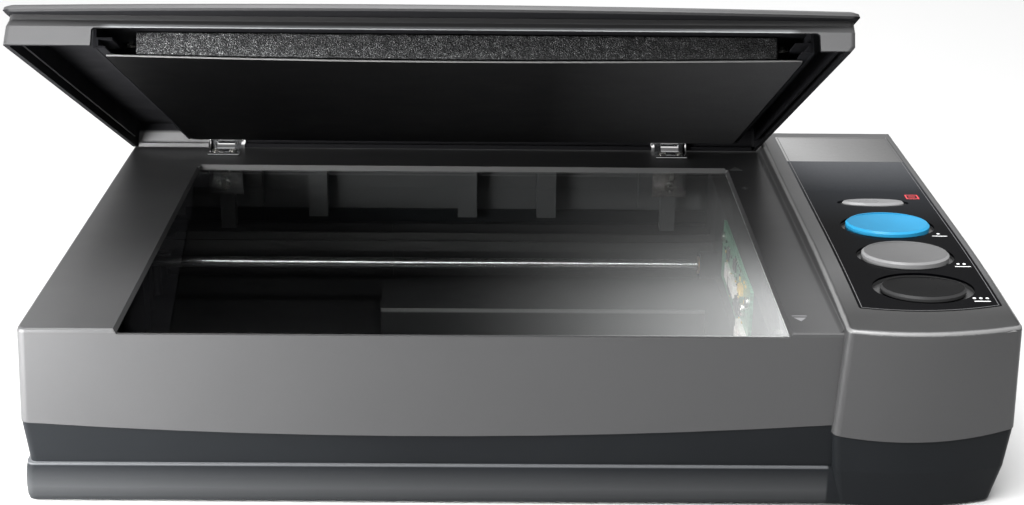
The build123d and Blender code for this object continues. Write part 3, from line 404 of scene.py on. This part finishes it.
def two_tone_housing():
    """Lacquer outside, the unpainted moulding on the walls inside the bed, painted shade on the column's
    front lip and painted highlights on the column's rounded top edges and the bevel behind the glass.
    """
    made = painted_housing("housing_paint", GREY_PAINT)
    painted = made.shader.inputs["Base Color"].links[0].from_socket
    _, y, z = made.parts(made.coords)
    back_wall = place(0, 273.3, 0).y
    near_back = made.spread(y, 1.0, 0.0, back_wall, back_wall + 0.0012)
    from_front = made.spread(y, 0.0, 1.0, place(0, 4, 0).y, place(0, 6, 0).y)
    below_top = made.spread(z, 1.0, 0.0, 0.0832, 0.0842)
    inside = made.times(made.times(near_back, from_front), below_top)
    # painted shade darkens the lip in front of the inlay; the column's rounded top edges and the bevel behind
    # the glass are painted paler as highlights
    ny, nz = made.parts(made.normals)[1:]
    lip_painted_shade = made.times(made.spread(z, 0.0, 1.0, 0.0885, 0.0895), made.spread(nz, 0.0, 1.0, 0.93, 0.985))
    lip_painted_shade = made.times(lip_painted_shade, made.spread(y, 1.0, 0.0, place(0, 10, 0).y, place(0, 60, 0).y))
    painted = made.mixed(lip_painted_shade, painted, dulled(GREY_PAINT, 0.16))
    # painted highlight along the column's rounded top edges
    rounded = made.times(made.spread(nz, 0.0, 1.0, 0.25, 0.4), made.spread(nz, 1.0, 0.0, 0.86, 0.95))
    rounded = made.times(rounded, made.spread(z, 0.0, 1.0, 0.0882, 0.0888))
    painted = made.mixed(rounded, painted, grey(0.17))
    # painted highlight on the front-facing bevel behind the glass
    bevel = made.times(made.spread(ny, 1.0, 0.0, -0.45, -0.25), made.spread(y, 0.0, 1.0, 0.02, 0.03))
    bevel = made.times(bevel, made.spread(z, 0.0, 1.0, 0.0845, 0.0848))
    painted = made.mixed(bevel, painted, grey(0.20))
    made.color_from(made.mixed(inside, painted, (0.085, 0.086, 0.088)))
    return made


def two_tone_cover():
    """Lacquer outside; bare black moulding inside the cover and along its lower edge, with a painted pool of
    pale grey light low at the left end of its back wall.
    """
    made = painted_housing("cover_paint", GREY_PAINT, specular=0.12, coat=0.0)
    painted = made.shader.inputs["Base Color"].links[0].from_socket
    gloss = made.shader.inputs["Roughness"].links[0].from_socket
    hinge = place(0, HINGE_Y, HINGE_Z)
    turn = Matrix.Rotation(LID_OPEN, 3, "X")
    centre = place(-41.2, 130, HINGE_Z)
    shut = made.turned(made.coords, LID_OPEN, tuple(hinge - turn @ hinge - centre))
    px, py, pz = made.parts(shut)
    nx, ny, nz = made.parts(made.turned(made.normals, LID_OPEN))
    outward = made.calc("ADD", made.times(px, nx), made.times(py, ny))
    inner_wall = made.spread(outward, 1.0, 0.0, -0.03, -0.01)
    underside = made.spread(nz, 1.0, 0.0, -0.75, -0.6)
    bare = made.calc("MAXIMUM", inner_wall, underside)
    # the strip of front skirt over the notch catches more light than the groove above it
    strip = made.times(made.spread(pz, 1.0, 0.0, 0.0048, 0.0056), made.spread(ny, 1.0, 0.0, -0.6, -0.4))
    middle = made.times(made.spread(px, 0.0, 1.0, -0.145, -0.140), made.spread(px, 1.0, 0.0, 0.156, 0.161))
    painted = made.mixed(made.times(strip, middle), painted, (0.17, 0.175, 0.18))
    # painted light: a pale grey pool low on the left end of the back wall, where the lamp on the left shines
    # in
    back_wall = made.times(made.spread(ny, 1.0, 0.0, -0.8, -0.5), made.spread(py, 0.0, 1.0, 0.09, 0.1))
    low = made.spread(pz, 1.0, 0.0, 0.004, 0.006)
    left_end = made.spread(px, 1.0, 0.0, -0.142, -0.141)
    painted_light_patch = made.times(made.times(back_wall, low), left_end)
    moulding = made.mixed(painted_light_patch, (0.006, 0.006, 0.007), (0.16, 0.16, 0.162))
    made.color_from(made.mixed(bare, painted, moulding))
    made.link(made.calc("MAXIMUM", gloss, made.times(bare, 0.8)), made.shader.inputs["Roughness"])
    made.link(made.times(made.calc("SUBTRACT", 1.0, bare), 0.3), made.shader.inputs["Metallic"])
    return made


def lower_casing():
    """Charcoal moulding with painted light: the bulge of the skirt is painted paler than the band, and the
    lip of the ledge above it carries a painted highlight.
    """
    made = plastic("casing_charcoal", (0.0088, 0.0098, 0.0110), 0.4, grain=2100.0, strength=0.3,
                   specular=0.07)
    band = made.shader.inputs["Base Color"].links[0].from_socket
    x, _, z = made.parts(made.coords)
    bed_side = made.spread(x, 1.0, 0.0, place(141.0, 0, 0).x, place(142.0, 0, 0).x)
    # painted light on the outward bulge of the skirt below the ledge, on the bed's part only
    bulge = made.times(made.spread(z, 1.0, 0.0, 0.0085, 0.0185), made.spread(z, 0.35, 1.0, 0.0015, 0.008))
    # painted highlight: a pale line along the lip of the ledge
    lip = made.times(made.spread(z, 0.0, 1.0, 0.0190, 0.0196), made.spread(z, 1.0, 0.0, 0.0200, 0.0204))
    paler = made.mixed(made.times(bulge, bed_side), band, (0.034, 0.0355, 0.0370))
    made.color_from(made.mixed(made.times(lip, bed_side), paler, (0.075, 0.078, 0.082)))
    return made


def chassis_sheet():
    """Dark painted sheet with a painted highlight along the front edge of its raised platform."""
    made = plastic("chassis_sheet", (0.024, 0.024, 0.025), 0.5, grain=1500.0, strength=0.15, specular=0.15)
    painted = made.shader.inputs["Base Color"].links[0].from_socket
    _, y, z = made.parts(made.coords)
    # painted highlight: a thin pale line along the front edge of the platform
    edge = made.times(made.spread(y, 1.0, 0.0, place(0, 163.9, 0).y, place(0, 164.5, 0).y),
                     made.spread(z, 0.0, 1.0, 0.0235, 0.0245))
    made.color_from(made.mixed(edge, painted, grey(0.15)))
    return made


MATERIALS = {
    "housing_grey": two_tone_housing(),
    "lid_grey": two_tone_cover(),
    "chassis_sheet": chassis_sheet(),
    "casing_charcoal": lower_casing(),
    "clear_glass": bed_glass(),
    "white_film": plastic("white_film", (0.8, 0.8, 0.78), 0.6),
    "silver_trim": silver_strip(),
    "piano_black": black_fascia(),
    "bright_steel": metal("bright_steel", (0.78, 0.78, 0.79), 0.17, stretch=(1.0, 8.0, 8.0)),
    "chrome_hinge": metal("chrome_plate", (0.78, 0.79, 0.80), 0.09, scratch=0.03),
    "zinc_screw": metal("zinc_screw", (0.58, 0.57, 0.54), 0.24, scratch=0.12),
    "motor_steel": metal("motor_can", (0.36, 0.36, 0.37), 0.35, stretch=(1.0, 1.0, 10.0)),
    "brass_gear": metal("brass", (0.66, 0.46, 0.18), 0.28),
    "white_acetal": plastic("white_acetal", (0.68, 0.68, 0.65), 0.4, strength=0.1),
    "belt_rubber": plastic("belt_rubber", grey(0.014), 0.75, grain=900.0, strength=0.5),
    "foot_rubber": plastic("foot_rubber", grey(0.02), 0.85, grain=700.0, strength=0.6),
    "green_board": board_surface(),
    "chip_black": plastic("chip_resin", (0.018, 0.018, 0.019), 0.5, grain=1500.0, strength=0.3),
    "cable_white": plastic("cable_film", (0.72, 0.66, 0.64), 0.35, strength=0.08),
    "inner_black": plastic("liner_black", (0.006, 0.006, 0.007), 0.72, grain=1900.0, strength=0.35,
                           specular=0.06),
    "foam_black": foam_surface(),
    "mat_black": mat_surface(),
    "lens_glass": clear_sheet("lens_glass", (0.85, 0.92, 0.96), ior=1.6),
    "mirror_face": metal("mirror_face", (0.86, 0.87, 0.88), 0.03, scratch=0.01),
    "lamp_glass": plastic("lamp_phosphor", (0.82, 0.82, 0.8), 0.2, strength=0.05),
    "reflector_foil": metal("reflector_foil", (0.72, 0.73, 0.74), 0.15),
    "bronze_bush": metal("bronze_bush", (0.42, 0.27, 0.13), 0.35, scratch=0.15),
    "key_silver": key_surface("key_silver", (0.13, 0.13, 0.132), 0.28, 0.1, 1.5),
    "key_blue": key_surface("key_blue", (0.010, 0.16, 0.30), 0.34, 0.03, 1.4),
    "key_grey": key_surface("key_grey", (0.08, 0.08, 0.081), 0.36, 0.05, 2.0),
    "key_black": key_surface("key_black", (0.002, 0.002, 0.0022), 0.3, 0.0, 2.2, 0.07),
    "print_white": plastic("print_white", grey(0.62), 0.5, strength=0.05),
    "print_red": plastic("print_red", (0.42, 0.012, 0.02), 0.45, strength=0.05),
    "print_grey": plastic("print_grey", (0.15, 0.15, 0.155), 0.5, strength=0.05),
    "print_line": plastic("print_line", (0.045, 0.045, 0.047), 0.45, strength=0.05),
    "amber_part": plastic("amber_part", (0.55, 0.36, 0.08), 0.35, strength=0.05),
}
MATERIAL = {name: surface.material for name, surface in MATERIALS.items()}

slot_of = {entry["node"]: entry["material_slot"] for entry in frame["record"]["subparts"]}
own_finish = {"lid_shell": "lid_grey", "chassis_frame": "chassis_sheet", "idler_pulley": "chip_black"}
for node_name, node_object in frame["nodes"].items():
    finish = own_finish.get(node_name, slot_of[node_name])
    node_object.data.materials.clear()
    node_object.data.materials.append(MATERIAL[finish])


# ---------------------------------------------------------------- mesh kit
def add_piece(name, mesh, material, body):
    """One visible piece that rides on a body."""
    piece = bpy.data.objects.new(name, mesh)
    bpy.context.scene.collection.objects.link(piece)
    mesh.materials.append(MATERIAL[material])
    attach(piece, body)
    return piece


def mesh_from(name, verts, faces, smooth=False):
    mesh = bpy.data.meshes.new(name)
    mesh.from_pydata([tuple(v) for v in verts], [], faces)
    mesh.validate()
    mesh.update()
    for polygon in mesh.polygons:
        polygon.use_smooth = smooth
    return mesh


class Builder:
    """Collects bevelled blocks, discs and flat outlines into one mesh, placed by a point function."""

    def __init__(self, to_frame):
        self.to_frame = to_frame
        self.verts = []
        self.faces = []

    def add(self, verts, faces):
        start = len(self.verts)
        self.verts += [self.to_frame(*v) for v in verts]
        self.faces += [tuple(start + i for i in face) for face in faces]

    def loft(self, rings):
        """Closed skin over rings of equal count, each a list of points."""
        count = len(rings[0])
        verts = [p for ring in rings for p in ring]
        faces = []
        for level in range(len(rings) - 1):
            for i in range(count):
                a, b = level * count + i, level * count + (i + 1) % count
                faces.append((a, b, b + count, a + count))
        faces.append(tuple(reversed(range(count))))
        faces.append(tuple((len(rings) - 1) * count + i for i in range(count)))
        self.add(verts, faces)

    def block(self, x0, x1, y0, y1, z0, z1, chamfer=0.12):
        """Box with a chamfered top rim."""
        def ring(inset, z):
            return [(x0 + inset, y0 + inset, z), (x1 - inset, y0 + inset, z),
                    (x1 - inset, y1 - inset, z), (x0 + inset, y1 - inset, z)]
        self.loft([ring(0, z0), ring(0, z1 - chamfer), ring(chamfer, z1)])

    def mesh(self, name, smooth=False):
        return mesh_from(name, self.verts, self.faces, smooth)


# ---------------------------------------------------------------- foam pad and mat of the cover
FOAM = (-174.9, 113.4, 19.6, 241.9, 89.0, 99.3)
MAT = (-188.4, 124.7, 19.2, 242.3)
MAT_Z0, MAT_Z1 = 87.75, 88.55
MAT_SAG = 1.7                    # deepest hang of the mat, in mm
FOAM_SLICES = (230, 34, 9)       # cuts across the foam in x, y and z
MAT_CELLS = (80, 48)             # cells of the mat in x and y
MAT_CORNER_R = 2.0


def front_sag(x, y):
    """How far the mat and foam hang down near the front middle, in mm."""
    across = 1 - ((x + 31.9) / 158.0) ** 2
    along = max(0.0, 1 - (y - 19.0) / 150.0)
    return MAT_SAG * max(0.0, across) * along * along


def make_foam():
    """Cut foam block: slightly crowned faces, softened edges and open cells on its cut sides."""
    x0, x1, y0, y1, z0, z1 = FOAM
    mesh = bpy.data.meshes.new("foam")
    work = bmesh.new()
    bmesh.ops.create_cube(work, size=1.0)
    for vert in work.verts:
        vert.co = Vector((x0 + (vert.co.x + 0.5) * (x1 - x0), y0 + (vert.co.y + 0.5) * (y1 - y0),
                          z0 + (vert.co.z + 0.5) * (z1 - z0)))
    bmesh.ops.bevel(work, geom=list(work.edges), offset=1.1, segments=3, affect="EDGES", profile=0.6)

    def cut(count, axis, low, high):
        for i in range(1, count):
            at = low + (high - low) * i / count
            normal = Vector((axis == 0, axis == 1, axis == 2))
            geom = list(work.verts) + list(work.edges) + list(work.faces)
            bmesh.ops.bisect_plane(work, geom=geom, plane_co=normal * at, plane_no=normal)

    cut(FOAM_SLICES[0], 0, x0, x1)
    cut(FOAM_SLICES[1], 1, y0, y1)
    cut(FOAM_SLICES[2], 2, z0, z1)
    for vert in work.verts:
        p = vert.co
        front = max(0.0, 1 - (p.y - y0) / 8.0)
        pull = 0.5 * math.sin(math.pi * (p.z - z0) / (z1 - z0))
        rough = noise.noise(p * 0.9) * 0.42 + noise.noise(p * 2.3) * 0.22
        side = vert.normal
        p.y -= front * (0.25 + pull * 0.3) * (1 if side.y < -0.3 else 0)
        flat = 0.35 if abs(side.z) > 0.7 else 1.0
        p += side * (rough * flat - 0.35)
        low = max(0.0, (z1 - p.z) / (z1 - z0))
        p.z -= front_sag(p.x, p.y) * low
        vert.co = lid_place(*p)
    work.to_mesh(mesh)
    work.free()
    for polygon in mesh.polygons:
        polygon.use_smooth = True
    piece = add_piece("foam_block", mesh, "foam_black", "lid")
    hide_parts("foam_pad")


def make_mat():
    """Thin black backing sheet, clipped at its corners and hanging a little at the front."""
    x0, x1, y0, y1 = MAT
    outline_x = [x0 + (x1 - x0) * i / MAT_CELLS[0] for i in range(MAT_CELLS[0] + 1)]
    outline_y = [y0 + (y1 - y0) * j / MAT_CELLS[1] for j in range(MAT_CELLS[1] + 1)]
    verts, faces = [], []
    r = MAT_CORNER_R
    for z, inset in ((MAT_Z0, 0.12), (MAT_Z0 + 0.15, 0.0), (MAT_Z1 - 0.15, 0.0), (MAT_Z1, 0.12)):
        for x in outline_x:
            for y in outline_y:
                px = min(max(x, x0 + inset), x1 - inset)
                py = min(max(y, y0 + inset), y1 - inset)
                for cx, cy in ((x0 + r, y0 + r), (x1 - r, y0 + r), (x0 + r, y1 - r), (x1 - r, y1 - r)):
                    dx, dy = px - cx, py - cy
                    outside = (cx == x0 + r) == (dx < 0) and (cy == y0 + r) == (dy < 0)
                    if outside and math.hypot(dx, dy) > r - inset:
                        scale = (r - inset) / math.hypot(dx, dy)
                        px, py = cx + dx * scale, cy + dy * scale
                wave = 0.10 * math.sin(px / 37.0) * math.sin(py / 29.0)
                verts.append(lid_place(px, py, z - front_sag(px, py) + wave))
    nx, ny = len(outline_x), len(outline_y)

    def at(layer, i, j):
        return layer * nx * ny + i * ny + j

    for i in range(nx - 1):
        for j in range(ny - 1):
            faces.append((at(0, i, j), at(0, i, j + 1), at(0, i + 1, j + 1), at(0, i + 1, j)))
            faces.append((at(3, i, j), at(3, i + 1, j), at(3, i + 1, j + 1), at(3, i, j + 1)))
    rim = [(i, 0) for i in range(nx)] + [(nx - 1, j) for j in range(1, ny)]
    rim += [(i, ny - 1) for i in range(nx - 2, -1, -1)] + [(0, j) for j in range(ny - 2, 0, -1)]
    for layer in range(3):
        for k, (i, j) in enumerate(rim):
            a, b = rim[(k + 1) % len(rim)]
            faces.append((at(layer, i, j), at(layer, a, b), at(layer + 1, a, b), at(layer + 1, i, j)))
    mesh = mesh_from("mat", verts, faces, smooth=True)
    mesh.set_sharp_from_angle(angle=math.radians(40))
    piece = add_piece("backing_mat", mesh, "mat_black", "lid")
    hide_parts("document_mat")


make_foam()
make_mat()


# ---------------------------------------------------------------- ribbon cable to the scan head
RIBBON_Y0, RIBBON_Y1 = 64.0, 84.0
RIBBON_CONDUCTORS = 14
RIBBON_HALF = 0.16               # half its thickness between two conductors, in mm
RIBBON_ROUTE = [(151.3, 16.0), (146, 16.0), (142.5, 12.0), (139, 5.6), (128, 4.8), (100, 4.8),
                (60, 4.8), (32, 4.9), (22, 6.8), (17.6, 12.2), (22, 17.6), (32, 19.6), (60, 20.4),
                (88, 21.8), (100, 25.5), (106, 32), (107.1, 42), (107.2, 52)]    # (x, z) from board to head


def smooth_route(points, steps=8):
    """Catmull-Rom samples through the route's (x, z) points."""
    out = []
    last = len(points) - 1
    for i in range(last):
        p = [Vector(points[k]) for k in (max(i - 1, 0), i, i + 1, min(i + 2, last))]
        for k in range(steps):
            t = k / steps
            out.append(0.5 * ((2 * p[1]) + (p[2] - p[0]) * t + (2 * p[0] - 5 * p[1] + 4 * p[2] - p[3]) * t * t
                              + (3 * p[1] - p[0] - 3 * p[2] + p[3]) * t ** 3))
    out.append(Vector(points[-1]))
    return out


def make_ribbon():
    """Flat cable with raised conductors along its length."""
    route = smooth_route(RIBBON_ROUTE)
    steps = RIBBON_CONDUCTORS * 4
    across = []
    for i in range(steps + 1):
        y = RIBBON_Y0 + (RIBBON_Y1 - RIBBON_Y0) * i / steps
        across.append((y, RIBBON_HALF + (0.09 if i % 4 == 2 else 0.045 if i % 2 else 0.0)))
    profile = [(y, h) for y, h in across] + [(y, -h) for y, h in reversed(across)]
    rings = []
    for i, point in enumerate(route):
        ahead = route[min(i + 1, len(route) - 1)] - route[max(i - 1, 0)]
        side = Vector((-ahead.y, ahead.x)).normalized()
        rings.append([(point.x + side.x * h, y, point.y + side.y * h) for y, h in profile])
    builder = Builder(place)
    builder.loft(rings)
    mesh = builder.mesh("ribbon", smooth=True)
    piece = bpy.data.objects.new("ribbon_flat_cable", mesh)
    bpy.context.scene.collection.objects.link(piece)
    mesh.materials.append(MATERIAL["cable_white"])
    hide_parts("ribbon_cable")
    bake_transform(piece)


make_ribbon()


# ---------------------------------------------------------------- printed marks (all generic pictograms)
PRINT_LIFT = 0.04                # ink level over the printed face
INK_BOTTOM, INK_TOP = -0.02, 0.03
INLAY_RECESS = 0.1               # the inlay lies this much below the column top
HAIRLINE_INSET, HAIRLINE_WIDTH = 1.1, 0.38
INLAY_X0, INLAY_X1, INLAY_Y1 = 153.5, 220.0, 270.5    # drawing mm


def on_column(x, y, z):
    """A point z above the ink level of the column's inlay."""
    return place(x, y, column_height(y) - INLAY_RECESS + PRINT_LIFT + z)


def on_bezel(x, y, z):
    """A point z above the ink level of the bezel."""
    return place(x, y, BEZEL_TOP + PRINT_LIFT + z)


class Print(Builder):
    """Flat ink shapes 0.05 mm thick."""

    def shape(self, outline):
        self.loft([[(x, y, z) for x, y in outline] for z in (INK_BOTTOM, INK_TOP)])

    def bar(self, x0, x1, y0, y1):
        self.shape([(x0, y0), (x1, y0), (x1, y1), (x0, y1)])

    def disc(self, x, y, r, count=20):
        turns = [2 * math.pi * i / count for i in range(count)]
        self.shape([(x + r * math.cos(t), y + r * math.sin(t)) for t in turns])

    def frame_mark(self, x0, x1, y0, y1, width):
        self.bar(x0, x1, y0, y0 + width)
        self.bar(x0, x1, y1 - width, y1)
        self.bar(x0, x0 + width, y0 + width, y1 - width)
        self.bar(x1 - width, x1, y0 + width, y1 - width)


def inlay_front(x):
    """Drawing y of the inlay's bowed front edge at x."""
    t = (x - INLAY_X0) / (INLAY_X1 - INLAY_X0)
    return 17.0 + 3.5 * t - 19.28 * t * (1 - t)


def make_prints():
    """All the marks: a red frame, a hairline, dots beside the keys and arrows on the bezel."""
    # a small frame with a bar inside, in red, beside the silver key
    red = Print(on_column)
    red.frame_mark(207.5, 214.5, 160.8, 167.4, 0.8)
    red.bar(209.2, 212.8, 163.6, 164.6)
    add_piece("mark_red_frame", red.mesh("mark_red"), "print_red", "base")
    # hairline just inside the edge of the inlay
    line = Print(on_column)
    x0, x1, y1 = INLAY_X0 + HAIRLINE_INSET, INLAY_X1 - HAIRLINE_INSET, INLAY_Y1 - HAIRLINE_INSET
    w = HAIRLINE_WIDTH
    steps = 24
    for k in range(steps):
        a, b = x0 + (x1 - x0) * k / steps, x0 + (x1 - x0) * (k + 1) / steps
        ya, yb = inlay_front(a) + HAIRLINE_INSET, inlay_front(b) + HAIRLINE_INSET
        line.shape([(a, ya), (b, yb), (b, yb + w), (a, ya + w)])
    for x in (x0, x1 - w):
        start = inlay_front(x) + HAIRLINE_INSET
        rows = [start + (y1 - inlay_front(x) - HAIRLINE_INSET) * k / 40 for k in range(41)]
        for a, b in zip(rows, rows[1:]):
            line.bar(x, x + w, a, b)
    line.bar(x0, x1, y1 - w, y1)
    add_piece("inlay_hairline", line.mesh("inlay_hairline"), "print_line", "base")
    # one, two and three dots beside the three round keys, each over a short line
    white = Print(on_column)
    for count, x, y in ((1, 211.5, 106.5), (2, 213.0, 66.5), (3, 212.2, 27.0)):
        for i in range(count):
            white.disc(x + (i - (count - 1) / 2) * 3.0, y + 1.4, 0.8)
        white.bar(x - 3.8, x + 3.8, y - 2.2, y - 1.5)
    add_piece("marks_keys", white.mesh("marks_keys"), "print_white", "base")
    # small registration arrows on the bezel for the page corners
    grey = Print(on_bezel)
    for x, y, s in ((125.6, 234.5, 1), (126.8, 16.5, -1)):
        tip = [(x - 2.8, y - 1.6 * s), (x + 2.8, y - 1.6 * s), (x, y + 2.6 * s)]
        grey.shape(tip if s > 0 else tip[::-1])
        grey.bar(x - 3.4, x + 3.4, y - 3.6 * s - 0.4, y - 3.6 * s + 0.4)
    grey.bar(124.6, 128.2, 199.4, 200.2)
    grey.bar(126.0, 126.8, 197.6, 202.0)
    add_piece("marks_bezel", grey.mesh("marks_bezel"), "print_grey", "base")


make_prints()


# ---------------------------------------------------------------- detail on the boards
BOARD_X = 110.4                  # outer face of the scan head's upright board
COIL_AT = (64.0, 76.5)           # height and drawing y of the round coil
CHIPS = ((58, 97, 8, 10, 1.6), (57, 124, 7, 9, 1.4), (73, 112, 5, 7, 1.2), (70, 136, 6, 6, 1.2))


def make_sensor_parts():
    """Small parts on the outer face of the scan head's board."""
    def on_board(x, y, z):
        return place(BOARD_X - z, y, x)

    dark = Builder(on_board)
    pale = Builder(on_board)
    bright = Builder(on_board)
    for height, y, w, d, h in CHIPS:
        dark.block(height - w / 2, height + w / 2, y - d / 2, y + d / 2, 0.15, h)
        pins = int(d // 1.3)
        for i in range(pins):
            at = y - d / 2 + d * (i + 0.5) / pins
            for side in (-1, 1):
                x0, x1 = sorted((height + side * w / 2, height + side * (w / 2 + 1.0)))
                bright.block(x0, x1, at - 0.22, at + 0.22, 0.0, 0.5, 0.08)
    for i in range(46):
        height = random.uniform(50.5, 77.5)
        y = random.uniform(71, 151)
        if abs(y - 66) < 5 or abs(y - 156) < 5:
            continue
        target = pale if i % 3 else dark
        target.block(height - 0.5, height + 0.5, y - 0.9, y + 0.9, 0.0, 0.6, 0.1)
    pale.block(68.6, 73.4, 82.0, 89.0, 0.0, 2.4, 0.8)
    for i in range(14):
        y = 93 + i * 1.6
        bright.block(76.6, 77.8, y - 0.4, y + 0.4, 0.0, 0.25, 0.05)
    for builder, name, material, slot in ((dark, "board_ics", "chip_black", "chip_black"),
                                          (pale, "board_passives", "amber_part", "cable_white"),
                                          (bright, "board_leads", "zinc_screw", "zinc_screw")):
        add_piece(name, builder.mesh(name), material, "carriage")
    inductor = Builder(on_board)
    up, y = COIL_AT
    turns = [2 * math.pi * k / 20 for k in range(20)]
    inductor.loft([[(up + r * math.cos(t), y + r * math.sin(t), z) for t in turns]
                   for z, r in ((0.0, 3.4), (1.8, 3.4), (2.3, 3.0), (2.5, 2.0))])
    for along, across, top in ((2.9, 0.3, 2.70), (0.3, 2.9, 2.74)):
        inductor.block(up - along, up + along, y - across, y + across, 2.3, top, 0.1)
    add_piece("board_coil", inductor.mesh("board_coil"), "zinc_screw", "carriage")


make_sensor_parts()


# ---------------------------------------------------------------- stage, light and camera
FLOOR_HALF = 6                   # metres
WORLD_BELOW, WORLD_ABOVE = 0.3, 0.85
LIGHTS = (                       # name, place, aim, width, height, watts
    ("key_left", (-0.405, -0.285, 0.12), (-0.22, -0.12, 0.07), 0.24, 0.18, 6.2),
    ("top_front", (-0.15, -0.62, 1.45), (0.0, 0.0, 0.05), 0.9, 0.7, 44.0),
    ("strip_front", (-0.05, -1.3, 1.15), (0.0, 0.0, 0.05), 1.4, 0.07, 7.0),
    ("top_back", (0.1, 1.4, 1.9), (0.05, 0.4, 0.0), 1.6, 1.2, 50.0),
)


def make_floor():
    """Plain pale floor."""
    h = FLOOR_HALF
    mesh = mesh_from("floor", [(-h, -h, 0), (h, -h, 0), (h, h, 0), (-h, h, 0)], [(0, 1, 2, 3)])
    floor = bpy.data.objects.new("floor", mesh)
    bpy.context.scene.collection.objects.link(floor)
    surface = Surface("studio_floor", grey(0.42), 0.8, specular=0.1)
    surface.mottled(1.2, grey(0.415), grey(0.425))
    mesh.materials.append(surface.material)


def softbox(name, at, look_at, width, height, watts):
    """Rectangular white lamp aimed at a point."""
    lamp = bpy.data.lights.new(name, "AREA")
    lamp.shape = "RECTANGLE"
    lamp.size = width
    lamp.size_y = height
    lamp.energy = watts
    light = bpy.data.objects.new(name, lamp)
    bpy.context.scene.collection.objects.link(light)
    light.location = at
    direction = Vector(look_at) - Vector(at)
    light.rotation_euler = direction.to_track_quat("-Z", "Y").to_euler()


def make_lights():
    """Studio with a brighter ceiling, softboxes overhead, behind and in front, and a low key at the left."""
    bpy.context.scene.view_settings.view_transform = "Standard"
    world = bpy.data.worlds.new("studio")
    bpy.context.scene.world = world
    world.use_nodes = True
    nodes, links = world.node_tree.nodes, world.node_tree.links
    split = nodes.new("ShaderNodeSeparateXYZ")
    links.new(nodes.new("ShaderNodeTexCoord").outputs["Generated"], split.inputs["Vector"])
    reach = nodes.new("ShaderNodeMapRange")
    reach.inputs["To Min"].default_value = WORLD_BELOW
    reach.inputs["To Max"].default_value = WORLD_ABOVE
    links.new(split.outputs["Z"], reach.inputs["Value"])
    background = nodes["Background"]
    background.inputs["Color"].default_value = (1.0, 1.0, 1.0, 1.0)
    links.new(reach.outputs["Result"], background.inputs["Strength"])
    for light in LIGHTS:
        softbox(*light)


CAMERA_AT = (-14.818, -693.329, 395.208)     # drawing mm
CAMERA_PITCH, CAMERA_YAW, CAMERA_ROLL = 21.275, 0.736, -0.658
CAMERA_LENS, CAMERA_SENSOR = 59.482, 36.0


def make_camera():
    """Camera in front of the scanner, looking down at it."""
    data = bpy.data.cameras.new("photo_camera")
    data.sensor_width = CAMERA_SENSOR
    data.lens = CAMERA_LENS
    data.clip_start = 0.01
    camera = bpy.data.objects.new("photo_camera", data)
    bpy.context.scene.collection.objects.link(camera)
    turn = (Matrix.Rotation(math.radians(-CAMERA_YAW), 4, "Z")
            @ Matrix.Rotation(math.radians(90 - CAMERA_PITCH), 4, "X")
            @ Matrix.Rotation(math.radians(-CAMERA_ROLL), 4, "Z"))
    camera.matrix_world = Matrix.Translation(place(*CAMERA_AT)) @ turn
    bpy.context.scene.camera = camera


make_floor()
make_lights()
make_camera()
